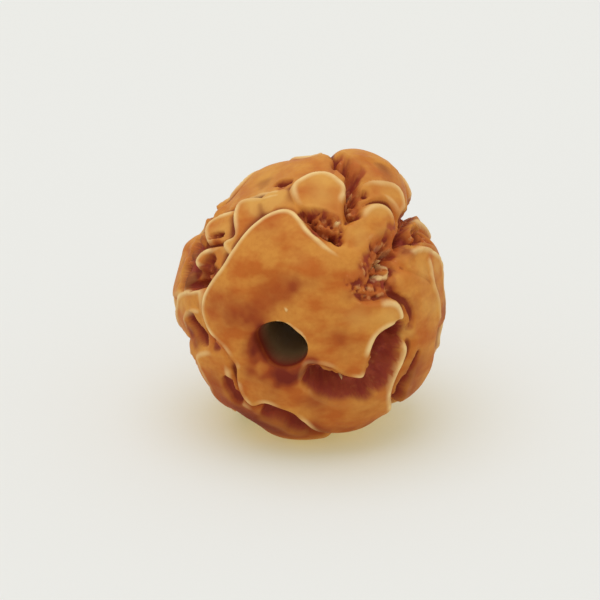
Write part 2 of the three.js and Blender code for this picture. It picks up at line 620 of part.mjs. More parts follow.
const lobes = [...LOBES.map(nearLobe), ...farLobes()];
const grooves = [...GROOVES.map(nearGroove), ...FAR_CLEFTS.map(farGroove)];
const hollows = HOLLOWS.map((hollow) => ({ ...hollow, middle: lift(hollow.at, HOLLOW_HEIGHT) }));
const patches = PATCHES.map((patch) => ({ ...patch, middle: lift(patch.at, HOLLOW_HEIGHT) }));
hollows.push({ ...DISH, middle: NEAR_MOUTH }, { ...DISH, middle: FAR_MOUTH });

// Distance from the middle of the seed to its surface along a direction
function surfaceRadius(direction) {
  let relief = 0;
  for (const lobe of lobes) {
    if (direction.dot(lobe.map.middle) > lobe.reach) {
      relief = smoothMax(relief, lobeTop(lobe, direction), LOBE_BLEND);
    }
  }
  for (const { middle, radius, depth } of hollows) {
    relief -= depth * Math.exp(-(((CORE_RADIUS * direction.angleTo(middle)) / radius) ** 2));
  }
  for (const { middle, radius, depth } of patches) {
    relief -= depth * Math.exp(-(((CORE_RADIUS * direction.angleTo(middle)) / radius) ** 4));
  }
  for (const groove of grooves) {
    if (direction.dot(groove.middle) > groove.reach) relief -= grooveCut(groove, direction);
  }
  relief += UNEVENNESS.size * layeredNoise(direction, UNEVENNESS);
  return bodyRadius(direction) + relief;
}

// A fine ball, each of whose points is moved out to the surface
function carvedBall() {
  const ball = new THREE.IcosahedronGeometry(1, BALL_DETAIL);
  ball.deleteAttribute("normal");
  ball.deleteAttribute("uv");
  const geometry = mergeVertices(ball);
  const position = geometry.getAttribute("position");
  const point = new THREE.Vector3();
  for (let i = 0; i < position.count; i++) {
    point.fromBufferAttribute(position, i).normalize();
    point.multiplyScalar(surfaceRadius(point));
    position.setXYZ(i, point.x, point.y, point.z);
  }
  return geometry.translate(...CENTRE);
}

// The hole as a solid: a rod along Y that widens a little towards both mouths
function holeRod() {
  const straight = 7;
  const mouth = 8.6;
  const end = 12;
  const wide = HOLE_RADIUS + HOLE_FLARE;
  const half = [[HOLE_RADIUS, straight], [wide, mouth], [wide, end], [0, end]];
  const profile = [...half.map(([r, y]) => [r, -y]).reverse(), ...half];
  const points = profile.map(([r, y]) => new THREE.Vector2(r, y));
  const rod = new THREE.LatheGeometry(points, HOLE_SIDES);
  return rod.translate(CENTRE.x, CENTRE.y, CENTRE.z - HOLE_DROP);
}

// A block whose top is the plane z = 0
function groundBlock() {
  const size = 4 * CORE_RADIUS;
  return new THREE.BoxGeometry(size, size, size).translate(0, 0, -size / 2);
}

const wasm = await Module();
wasm.setup();

function toSolid(geometry) {
  geometry.deleteAttribute("normal");
  geometry.deleteAttribute("uv");
  const merged = mergeVertices(geometry, 1e-5);
  return new wasm.Manifold(
    new wasm.Mesh({
      numProp: 3,
      vertProperties: merged.getAttribute("position").array,
      triVerts: new Uint32Array(merged.index.array),
    }),
  );
}

function toGeometry(solid) {
  const { vertProperties, triVerts } = solid.getMesh();
  const geometry = new THREE.BufferGeometry();
  geometry.setAttribute("position", new THREE.BufferAttribute(vertProperties, 3));
  geometry.setIndex(new THREE.BufferAttribute(triVerts, 1));
  geometry.computeVertexNormals();
  return geometry;
}

function seed() {
  const solid = toSolid(carvedBall()).subtract(toSolid(holeRod())).subtract(toSolid(groundBlock()));
  const wood = new THREE.MeshStandardMaterial({ color: 0xc0743a, roughness: 0.45, metalness: 0 });
  const mesh = new THREE.Mesh(toGeometry(solid), wood);
  mesh.name = "seed";
  return mesh;
}

const rudraksha = new THREE.Group();
rudraksha.add(seed());

export default rudraksha;
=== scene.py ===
# A rudraksha seed on a pale floor: the solid part's form at a finer mesh, with its grain, wear and colour.
# The seed's surface is a star shape, as in the solid: along each direction from its middle it lies at
# body + relief, where body is a sphere with broad swells and relief is made of lobes, hollows and clefts.
# Lengths are in millimetres until the mesh is made, which is in metres.

import bpy
import numpy as np
from mathutils import Matrix, Vector


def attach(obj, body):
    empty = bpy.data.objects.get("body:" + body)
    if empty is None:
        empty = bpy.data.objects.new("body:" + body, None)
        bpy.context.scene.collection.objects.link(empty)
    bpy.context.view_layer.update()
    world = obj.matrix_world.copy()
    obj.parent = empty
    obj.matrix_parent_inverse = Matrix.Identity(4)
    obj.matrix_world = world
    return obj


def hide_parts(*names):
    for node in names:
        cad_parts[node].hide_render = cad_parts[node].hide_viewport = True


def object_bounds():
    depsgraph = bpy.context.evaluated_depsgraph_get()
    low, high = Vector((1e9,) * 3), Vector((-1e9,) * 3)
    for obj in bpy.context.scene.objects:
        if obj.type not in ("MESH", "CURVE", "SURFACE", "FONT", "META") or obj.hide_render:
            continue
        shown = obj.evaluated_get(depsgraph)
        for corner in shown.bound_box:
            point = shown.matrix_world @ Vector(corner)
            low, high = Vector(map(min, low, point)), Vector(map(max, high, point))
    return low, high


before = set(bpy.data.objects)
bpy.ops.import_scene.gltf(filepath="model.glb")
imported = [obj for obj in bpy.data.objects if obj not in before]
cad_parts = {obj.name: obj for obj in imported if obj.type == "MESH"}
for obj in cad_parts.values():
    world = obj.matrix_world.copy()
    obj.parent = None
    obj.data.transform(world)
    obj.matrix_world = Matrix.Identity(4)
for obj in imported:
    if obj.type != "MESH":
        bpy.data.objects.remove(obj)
cad_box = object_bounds()
MM = 0.001

# Driving dimensions
CORE_RADIUS = 9.5
CENTRE = np.array([-0.04, -0.18, 10.3])  # the seed's middle in the part's frame
HOLE_RADIUS = 1.75
HOLE_DROP = 0.4  # how far the hole runs below the seed's middle
MOUTH_DISTANCE = 8.4  # from the seed's middle to a mouth of the hole
AXIAL_SQUEEZE = 0.05  # share by which the body is shorter along the hole
LOBE_BLEND = 0.14  # how softly a lobe runs into what it lies on
LOBE_MARGIN = 1.5  # how far past its outline a lobe's flank is followed down
RIM_WIDTH = 0.22  # half width of the bead along a lobe's edge
RIDGE_REACH = 0.7  # angle from the middle of a ridge's line within which all of the ridge lies
UNEVENNESS = 0.1  # height of the broad, faint waves all over

# The dip round each mouth of the hole: near or far side, shift across, radius and depth
DISHES = [(-1, -0.5, 2.2, 0.6), (1, 0.0, 2.3, 0.55)]

# Heights over the body that the near side's drawn points are taken to lie at
TOP_HEIGHT = 0.5
GROOVE_HEIGHT = 0.2

# Size of the mesh: points round the hole's axis, and rings over the near half, far half and hole
COLUMNS = 400
NEAR_RINGS = 130
FAR_RINGS = 70
HOLE_RINGS = 26
MOUTH_ANGLE = 0.21  # angle from the hole's axis where the outer surface meets the hole
MOUTH_RINGS = 4  # rings of the hole's wall over which it darkens
HOLE_FLARE = 0.125  # share of the hole's length over which each mouth narrows to the round wall

# The near mouth isn't quite round: turn about the hole's axis, spread and swell of each bulge or dent
MOUTH_SHAPE = [(0.9, 0.5, -0.16), (3.1, 0.8, 0.28), (4.6, 0.5, 0.04)]

# Angles from the hole's axis by which the rings no longer follow the mouth's shape, and the hole's drop
SHAPE_FADE = 0.35
DROP_FADE = 0.5

# The view that the near side is drawn in, and how the photograph frames it
VIEW_TURN = np.radians(12.6)
VIEW_RISE = np.radians(24)
ACROSS = np.array([np.cos(VIEW_TURN), np.sin(VIEW_TURN), 0])
TOWARD = np.array([
    np.sin(VIEW_TURN) * np.cos(VIEW_RISE),
    -np.cos(VIEW_TURN) * np.cos(VIEW_RISE),
    np.sin(VIEW_RISE),
])
UP = np.cross(TOWARD, ACROSS)
PIXEL = 1 / 13.5  # one pixel of the picture, at the seed's middle
PICTURE = 600
MIDDLE_PIXEL = (309, 292)  # where the seed's middle is seen
CAMERA_DISTANCE = 260
SENSOR_WIDTH = 36

# Points drawn further out than this share of the radius fold round to the far side, this many radians for
# each radius past it
LIMB = 0.97
FOLD = 1.8

# Broad swells of the body: direction in the view (across, up, toward), rise and spread
SWELLS = [
    ((0.44, 0.90, 0.00), 1.60, 0.31),
    ((-0.80, 0.62, 0.20), -0.95, 0.45),
    ((-0.37, 0.93, 0.00), 0.35, 0.15),
    ((-1.00, 0.00, 0.00), 0.15, 0.30),
    ((0.70, -0.74, 0.00), 1.00, 0.45),
    ((0.50, -0.87, 0.00), -0.35, 0.14),
    ((-0.50, -0.87, 0.00), -0.45, 0.16),
    ((-0.52, -0.85, 0.00), 1.25, 0.42),
    ((0.05, -1.00, 0.10), 0.55, 0.40),
    ((0.84, 0.56, 0.00), -0.75, 0.16),
    ((0.94, 0.33, 0.00), 0.35, 0.14),
    ((-0.218, -0.397, 0.89), -0.65, 0.75),
]

# Lobes of the near side: outline in the view (across, up), height over the body, lean (rise per mm across
# and up), half width of the rounded edge, steepness of the flank, height of the bead along the edge
FACE = [
    (-2.1, 6.0), (-3.0, 5.7), (-4.0, 5.0), (-4.9, 4.0), (-5.6, 3.0), (-6.3, 1.9), (-7.1, 0.9),
    (-7.7, -0.1), (-7.9, -1.2), (-7.7, -2.2), (-7.2, -3.1), (-6.4, -3.9), (-5.9, -4.6), (-5.4, -5.5),
    (-5.3, -6.5), (-5.1, -7.4), (-4.7, -8.1), (-4.1, -8.5), (-3.2, -8.2), (-2.1, -8.6), (-1.2, -9.0),
    (-0.4, -9.8), (0.4, -10.3), (1.9, -10.4), (3.4, -10.4), (4.7, -10.2), (5.7, -9.8), (6.2, -9.0),
    (6.1, -8.0), (6.2, -7.0), (6.6, -5.9), (7.0, -5.0), (7.2, -4.2), (7.0, -3.6), (6.6, -3.3),
    (6.4, -4.0), (6.2, -4.9), (5.8, -6.1), (5.2, -6.8), (4.1, -7.2), (3.0, -7.5), (1.8, -7.8),
    (0.7, -7.5), (0.1, -6.8), (-0.3, -6.1), (-0.1, -5.4), (0.7, -5.4), (1.7, -5.7), (2.7, -6.2),
    (3.9, -6.3), (4.2, -5.4), (4.5, -4.3), (4.9, -3.3), (5.6, -2.7), (6.4, -2.5), (6.9, -2.2),
    (6.9, -1.5), (6.5, -0.8), (5.7, -0.6), (4.7, -0.8), (3.8, -0.7), (3.3, 0.1), (3.2, 1.2), (2.9, 2.0),
    (2.1, 2.8), (1.4, 3.3), (0.7, 3.9), (-0.1, 4.6), (-0.7, 5.4), (-1.3, 5.9),
]
LOBES = {
    "face": (FACE, 0.6, (0, 0), 0.26, 2.6, 0.07),
    "bridge from face to shoulder": ([
        (0.8, 3.2), (2.0, 3.6), (3.6, 3.2), (4.3, 2.2), (4.2, 1.0), (3.8, -0.2), (2.6, -0.6), (1.2, 0.6),
        (0.2, 2.2),
    ], 0.63, (0, 0), 0.6, 1.2, 0),
    "bridge from face to heel": ([
        (-9.0, -3.8), (-8.0, -3.5), (-7.0, -3.4), (-6.0, -3.2), (-5.0, -3.8), (-4.9, -4.8), (-5.7, -5.5),
        (-6.7, -6.0), (-7.8, -5.6), (-8.8, -4.9),
    ], 0.52, (0, 0), 0.55, 1.2, 0),
    "shoulder": ([
        (2.7, 4.7), (3.2, 5.0), (3.7, 5.6), (4.0, 6.0), (4.5, 6.3), (5.2, 6.3), (5.8, 5.9), (6.2, 5.2),
        (6.3, 4.4), (5.7, 4.3), (5.0, 4.0), (4.5, 3.4), (4.5, 2.5), (4.1, 1.8), (3.7, 1.0), (3.0, 0.0),
        (1.0, -0.2), (1.0, 2.2), (2.0, 3.0), (2.5, 3.6),
    ], 0.55, (0.03, 0.07), 0.28, 2.2, 0.05),
    "tongue": ([
        (-1.3, 7.2), (-1.1, 7.7), (-0.5, 8.1), (0.2, 8.4), (1.0, 8.5), (1.7, 8.3), (2.3, 7.9), (2.7, 7.5),
        (2.7, 7.0), (2.5, 6.6), (2.5, 5.9), (2.6, 5.0), (2.7, 3.8), (2.3, 3.8), (2.0, 4.6), (1.9, 5.3),
        (1.2, 5.7), (0.2, 5.9), (-0.4, 5.9), (-1.0, 6.4),
    ], 0.6, (0, 0.17), 0.24, 2.4, 0.09),
    "crown": ([
        (1.3, 11.5), (1.4, 10.4), (1.9, 9.6), (2.4, 8.8), (2.7, 8.2), (0.8, 7.9), (-1.0, 7.4),
        (-2.9, 7.3), (-4.4, 6.9), (-5.4, 6.2), (-6.5, 5.5), (-7.3, 4.6), (-7.7, 3.8), (-8.8, 4.6),
        (-8.8, 6.6), (-7.6, 8.6), (-6.0, 10.5), (-3.0, 12.0), (0.5, 12.3),
    ], 0.42, (0.02, 0.03), 0.4, 1.6, 0.02),
    "band": ([
        (-3.5, 6.8), (-2.5, 7.4), (-1.4, 7.4), (-0.7, 6.8), (-0.4, 5.9), (-1.4, 5.7), (-2.1, 5.8),
        (-3.0, 5.6),
    ], 0.46, (0, 0.05), 0.6, 0.9, 0),
    "upper scallop": ([
        (-2.9, 6.8), (-3.8, 6.8), (-4.5, 6.6), (-5.0, 6.2), (-5.3, 5.6), (-5.4, 4.9), (-5.4, 4.1),
        (-5.9, 3.7), (-6.1, 3.4), (-6.0, 3.0), (-5.4, 2.6), (-4.4, 4.2), (-3.3, 5.3), (-2.1, 5.9),
        (-1.8, 6.4),
    ], 0.38, (-0.17, 0.14), 0.2, 2.4, 0.09),
    "outer scallop": ([
        (-7.2, 3.6), (-7.2, 4.2), (-6.9, 4.8), (-6.4, 5.3), (-5.8, 5.7), (-5.1, 6.1), (-4.4, 6.8),
        (-3.5, 7.2), (-3.0, 6.8), (-4.4, 5.7), (-5.3, 4.4), (-6.0, 3.7), (-7.0, 3.5),
    ], 0.28, (-0.18, 0.14), 0.2, 2.4, 0.09),
    "lower scallop": ([
        (-6.1, 3.3), (-7.0, 3.2), (-7.6, 2.9), (-8.0, 2.4), (-8.1, 1.9), (-7.7, 1.5), (-7.0, 1.9),
        (-6.4, 1.5), (-5.4, 2.8),
    ], 0.45, (-0.12, 0.14), 0.22, 2.4, 0.08),
    "left flank": ([
        (-8.0, 4.1), (-8.5, 4.9), (-9.6, 5.0), (-10.9, 4.0), (-11.2, 1.5), (-11.0, -0.5), (-9.1, 0.0),
        (-8.9, 1.2), (-8.6, 2.3), (-8.4, 3.2),
    ], 0.75, (0, 0), 0.3, 2, 0.04),
    "left knob": ([
        (-7.7, 0.1), (-8.4, 0.2), (-9.0, 0.1), (-9.6, -0.3), (-9.9, -0.9), (-10.5, -1.8), (-10.6, -2.8),
        (-9.9, -3.5), (-8.9, -3.6), (-8.1, -3.7), (-7.3, -3.9), (-7.5, -2.8), (-7.7, -1.3),
    ], 0.38, (-0.1, 0.1), 0.22, 2.4, 0.09),
    "heel": ([
        (-8.2, -4.4), (-8.1, -5.4), (-7.8, -6.1), (-7.6, -6.8), (-7.6, -7.6), (-7.2, -8.6), (-6.2, -9.8),
        (-4.8, -10.8), (-3.2, -11.4), (-2.4, -9.6), (-3.8, -8.8), (-5.0, -8.0), (-5.5, -6.8),
        (-5.7, -5.6), (-6.0, -4.4), (-7.3, -4.1),
    ], 0.45, (-0.03, 0.03), 0.35, 1.6, 0.045),
    "underside": ([
        (-6.0, -9.4), (-5.0, -9.3), (-4.0, -9.2), (-2.6, -9.6), (-1.2, -10.2), (0.0, -10.9), (1.5, -11.2),
        (1.2, -12.5), (-3.0, -12.6), (-6.0, -11.4), (-7.8, -9.8),
    ], 0.42, (0, 0), 0.5, 1.3, 0),
    "cheek": ([
        (6.1, 0.7), (6.5, 1.2), (7.2, 1.5), (7.9, 1.3), (8.8, 1.0), (9.3, 0.5), (9.6, -0.4), (9.7, -1.5),
        (9.7, -2.4), (9.6, -3.6), (9.6, -5.0), (9.6, -6.1), (9.0, -7.5), (7.6, -8.7), (6.4, -8.9),
        (6.3, -7.6), (6.8, -6.1), (7.6, -4.6), (7.7, -3.4), (7.1, -2.4), (7.1, -1.3), (6.7, -0.4),
    ], 0.48, (0.03, 0), 0.5, 1.4, 0),
    "ear": ([
        (7.0, 2.2), (7.2, 2.7), (7.6, 3.1), (8.2, 3.3), (8.9, 3.1), (9.4, 2.7), (9.9, 2.1), (10.0, 1.6),
        (10.3, 0.5), (10.7, -0.6), (10.7, -2.1), (9.9, -2.8), (9.3, -1.3), (9.0, 0.5), (8.2, 1.1),
        (7.3, 1.5),
    ], 0.55, (0.06, 0.1), 0.22, 2.4, 0.09),
    "right flank": ([
        (7.0, 5.5), (7.1, 3.9), (7.9, 3.5), (8.8, 3.3), (9.5, 2.8), (10.4, 2.6), (11.3, 3.6), (10.6, 5.4),
        (8.9, 6.9), (7.6, 6.6),
    ], 0.4, (0, 0), 0.3, 2, 0),
    "inner arch": ([
        (3.6, 7.4), (4.0, 7.9), (4.6, 8.2), (5.4, 8.3), (6.1, 8.0), (6.6, 7.4), (6.9, 6.7), (7.0, 6.0),
        (6.6, 5.6), (6.2, 6.2), (5.6, 6.7), (4.7, 6.7), (3.9, 6.5), (3.5, 6.8),
    ], 0.45, (0.06, 0.2), 0.2, 2.4, 0.09),
    "poll": ([
        (2.3, 10.4), (3.0, 9.8), (3.6, 9.2), (4.0, 8.5), (4.9, 8.1), (6.1, 7.9), (6.9, 7.2), (7.2, 6.4),
        (8.2, 7.2), (8.0, 8.9), (6.4, 10.9), (3.8, 12.4), (2.1, 12.4),
    ], 0.45, (0, 0), 0.4, 1.8, 0),
}

# Clefts and grooves of the near side: line in the view, half width, depth and raggedness
GROOVES = {
    "trench": ([
        (0.5, -6.3), (1.5, -6.9), (2.9, -7.1), (4.1, -6.9), (5.1, -6.0), (5.6, -4.7), (5.9, -3.5),
        (6.5, -2.9),
    ], 0.79, 1.8, 0.25),
    "top cleft": ([
        (2.2, 9.9), (2.8, 9.4), (3.4, 8.7), (3.1, 7.7), (3.1, 6.6), (3.2, 5.9), (3.3, 5.4),
    ], 0.42, 0.7, 0.8),
    "top cleft mouth": ([(2.3, 9.7), (2.8, 9.4), (3.4, 9.0)], 0.62, 0.3, 0.7),
    "top cleft, side branch": ([(3.3, 6.8), (4.0, 7.0)], 0.2, 0.4, 0.3),
    "right cleft": ([
        (9.3, 4.0), (8.3, 4.1), (7.3, 4.0), (6.3, 3.3), (5.6, 2.4), (4.9, 1.4),
    ], 0.5, 0.7, 0.8),
    "right cleft, lower branch": ([
        (5.8, 2.4), (6.0, 1.5), (5.9, 0.4), (6.1, -0.2), (6.9, -0.7), (7.3, -1.6), (7.3, -2.6),
    ], 0.27, 0.35, 0.12),
    "right cleft, upper branch": ([
        (9.2, 7.2), (8.0, 6.0), (7.1, 5.3), (7.0, 4.6), (6.8, 3.9),
    ], 0.4, 1.0, 0.5),
    "brow pit": ([(-0.4, 5.5), (0.4, 5.0), (1.2, 4.4), (2.0, 3.6)], 0.38, 0.6, 0.65),
    "brow pit, upper side": ([(0.3, 5.4), (1.3, 5.2), (1.9, 4.9), (2.0, 4.2)], 0.42, 0.2, 0.65),
    "left cleft": ([(-8.0, 4.2), (-8.1, 3.4), (-8.5, 2.4), (-8.6, 1.3), (-8.7, 0.5)], 0.4, 1.1, 0.35),
    "left pit": ([(-7.0, 2.2), (-7.6, 1.5), (-7.7, 0.8), (-8.2, 0.4)], 0.42, 0.9, 0.45),
    "left hollow": ([(-8.5, -2.0), (-8.2, -2.5), (-7.9, -3.0), (-7.5, -3.5)], 0.42, 0.8, 0.15),
    "low pit": ([(-2.9, -9.0), (-1.8, -9.4), (-0.8, -10.1)], 0.55, 1.1, 0.15),
    "heel groove": ([(-5.8, -6.4), (-5.7, -7.1), (-5.3, -7.8)], 0.4, 0.6, 0.0),
    "cheek groove": ([(7.0, -6.4), (6.5, -7.8), (6.4, -9.2), (7.2, -10.6)], 0.4, 1.0, 0.05),
    "cheek groove, upper end": ([(7.85, -4.4), (7.5, -5.3), (7.0, -6.4)], 0.22, 0.45, 0.05),
    "gap above the chips": ([(5.2, 2.4), (5.7, 2.75)], 0.14, 0.5, 0.3),
    "gap between the chips": ([(5.55, 2.2), (5.6, 1.7)], 0.13, 0.5, 0.3),
    "scallop pit": ([(-6.8, 3.9), (-6.3, 4.1)], 0.24, 0.4, 0.4),
    "crown nick": ([(-2.2, 7.9), (-1.5, 8.0)], 0.32, 0.6, 0.3),
}

# Shallow hollows of the near side (low rises where the depth is negative): place, radius and depth
HOLLOWS = [
    ((-2.8, 0.0), 1.8, 0.36), ((2.6, -3.8), 1.5, 0.32), ((-3.5, -4.0), 1.1, 1.0),
    ((-1.8, 2.6), 1.6, 0.16), ((0.6, 1.2), 1.3, -0.12), ((-5.6, -1.8), 1.0, -0.12),
    ((4.4, -8.9), 1.5, -0.15), ((0.4, -8.6), 1.2, 0.15), ((-2.6, -6.6), 1.3, -0.15),
    ((5.2, -1.8), 0.8, -0.15), ((8.4, -2.6), 1.6, 0.25), ((-3.2, 8.2), 1.5, 0.25), ((5.4, 9.6), 1.4, 0.2),
    ((-11.4, -5.0), 1.5, 1.0), ((-10.0, -4.2), 1.0, 0.3), ((8.3, 5.9), 1.3, 0.8), ((10.8, 0.3), 1.4, 0.3),
    ((10.3, -3.4), 1.2, 0.25), ((-8.5, 4.9), 1.0, 0.3), ((-9.6, 5.4), 1.2, 0.5),
    ((-9.8, 3.9), 1.0, -0.35), ((0.6, 11.6), 1.6, 0.6), ((-6.4, 8.6), 1.3, 0.35),
    ((-7.0, 6.0), 0.8, -0.35), ((6.3, -10.4), 1.4, 1.1), ((-5.4, -10.8), 1.3, 0.6),
]

# Patches of the near side where the surface is worn away and ragged: place, radius and raggedness
PATCHES = [
    ((6.4, 4.2), 1.2, 0.9), ((5.8, 2.4), 1.3, 1.0), ((4.1, 0.3), 1.2, 0.8), ((3.3, 0.6), 0.9, 0.6),
    ((4.3, 2.0), 0.8, 0.9), ((4.9, 3.3), 0.8, 0.8), ((5.3, 0.6), 1.0, 0.9), ((-9.0, 2.6), 1.4, 0.4),
    ((-7.7, 1.2), 0.8, 0.9), ((3.2, 7.2), 0.7, 0.9), ((2.8, 9.3), 1.1, 1.0), ((-8.3, 3.2), 0.7, 1.0),
    ((-8.6, 1.9), 0.8, 1.0), ((-6.9, -3.9), 0.6, 0.6), ((-9.2, 0.9), 0.7, 0.5), ((1.0, 4.8), 1.0, 0.9),
    ((-2.0, 7.9), 0.5, 0.5), ((0.2, -6.4), 0.9, 0.5),
]

# Worn ridges that stand up softly from the near side: line, radius and height
RIDGES = [
    ([(8.7, 2.2), (8.9, 1.4), (9.1, 0.5), (9.5, -0.6), (9.6, -1.8)], 0.24, 0.14),
    ([(7.5, 2.9), (8.1, 3.15), (8.7, 3.1)], 0.2, 0.12),
    ([(-4.2, 6.9), (-3.3, 6.8), (-2.4, 7.0)], 0.1, 0.05),
    ([(-6.4, 5.5), (-5.3, 6.3), (-4.4, 7.0), (-3.5, 7.35), (-2.4, 7.3)], 0.16, 0.06),
    ([(-9.1, -2.5), (-9.2, -2.0), (-9.0, -1.6), (-8.6, -1.35), (-8.2, -1.45)], 0.16, 0.12),
    ([(-2.3, -2.2), (-1.4, -2.4), (-0.6, -3.0), (-0.15, -3.7)], 0.12, 0.05),
]

# Crisp pale chips, flecks and splinters of the near side: line or place, radius and height
CHIPS = [
    ([(2.1, 5.1)], 0.18, 0.25), ([(-1.65, -1.3)], 0.15, 0.12), ([(4.8, -5.1)], 0.17, 0.4),
    ([(5.7, 2.4), (5.95, 2.05), (6.1, 1.75)], 0.2, 0.2),
    ([(6.1, 1.5), (5.8, 1.15), (5.4, 1.1)], 0.18, 0.16), ([(2.5, 9.5)], 0.14, 0.12),
    ([(1.0, -6.5), (1.2, -7.0)], 0.09, 0.3), ([(2.5, -6.9), (2.8, -7.5)], 0.09, 0.3),
]

# Duller crumbs of wood in the ragged places: line or place, radius and height
CRUMBS = [
    ([(4.9, 2.05), (5.3, 2.2)], 0.19, 0.16), ([(5.1, 0.6), (5.05, 0.9)], 0.15, 0.12),
    ([(3.85, 1.7), (3.95, 1.35)], 0.13, 0.1), ([(4.35, 0.35), (4.7, 0.2)], 0.15, 0.1),
    ([(5.25, -0.3), (5.55, -0.15)], 0.13, 0.1), ([(6.9, 4.6)], 0.14, 0.12),
    ([(3.9, 0.6), (3.5, 0.4)], 0.14, 0.1), ([(3.1, -0.1)], 0.12, 0.07),
    ([(4.4, -0.3), (4.1, -0.35)], 0.12, 0.07), ([(5.1, 3.3), (5.5, 3.5)], 0.2, 0.15),
    ([(6.0, 3.0), (6.4, 3.2)], 0.22, 0.12), ([(1.6, 4.3)], 0.12, 0.1),
    ([(2.9, 9.1), (3.1, 8.8)], 0.14, 0.14), ([(2.3, 9.9)], 0.14, 0.12),
    ([(2.8, 8.5), (3.1, 8.3)], 0.13, 0.12), ([(3.3, 7.7)], 0.12, 0.1),
    ([(2.95, 7.0), (3.25, 6.85)], 0.13, 0.12), ([(3.1, 6.1)], 0.13, 0.1),
    ([(-7.8, 1.4), (-7.6, 1.1)], 0.14, 0.12), ([(-7.2, 1.1)], 0.12, 0.1),
]

# How each of these kinds stands up: how sharp its shoulders are, how far its edge wanders, how pale it is
# in the rims' colour of wear and painted highlight
RAISED = [(RIDGES, 2, 0.06, 0.55), (CHIPS, 4, 0.1, 0.95), (CRUMBS, 4, 0.14, 0.28)]

# Places of the near side where a lobe's edge has no pale line of wear and painted highlight: place and
# radius
NO_RIM_LINE = [
    ((0.4, -5.9), 1.4), ((2.2, -6.2), 1.3), ((-1.7, -8.9), 1.3), ((2.8, 2.0), 1.3), ((3.3, 0.6), 1.2),
    ((2.2, -10.3), 2.4), ((-6.6, -4.1), 1.0), ((4.6, -0.9), 0.8), ((5.0, 10.2), 2.5), ((-8.0, 6.6), 1.5),
    ((-4.2, -9.6), 1.5), ((-3.6, -8.6), 0.9), ((4.2, -5.2), 0.9), ((0.9, -7.7), 1.0), ((-6.8, 3.6), 0.7),
    ((5.3, 4.2), 1.1), ((-5.4, -7.4), 1.0), ((-6.9, -8.9), 1.6), ((3.2, 5.0), 1.0), ((-5.7, -5.0), 0.8),
    ((-5.0, -6.0), 0.7), ((2.9, -0.5), 0.9), ((3.7, -0.8), 0.8), ((-8.6, 1.0), 0.8), ((2.1, -7.9), 0.8),
    ((-0.8, -6.0), 0.9),
]
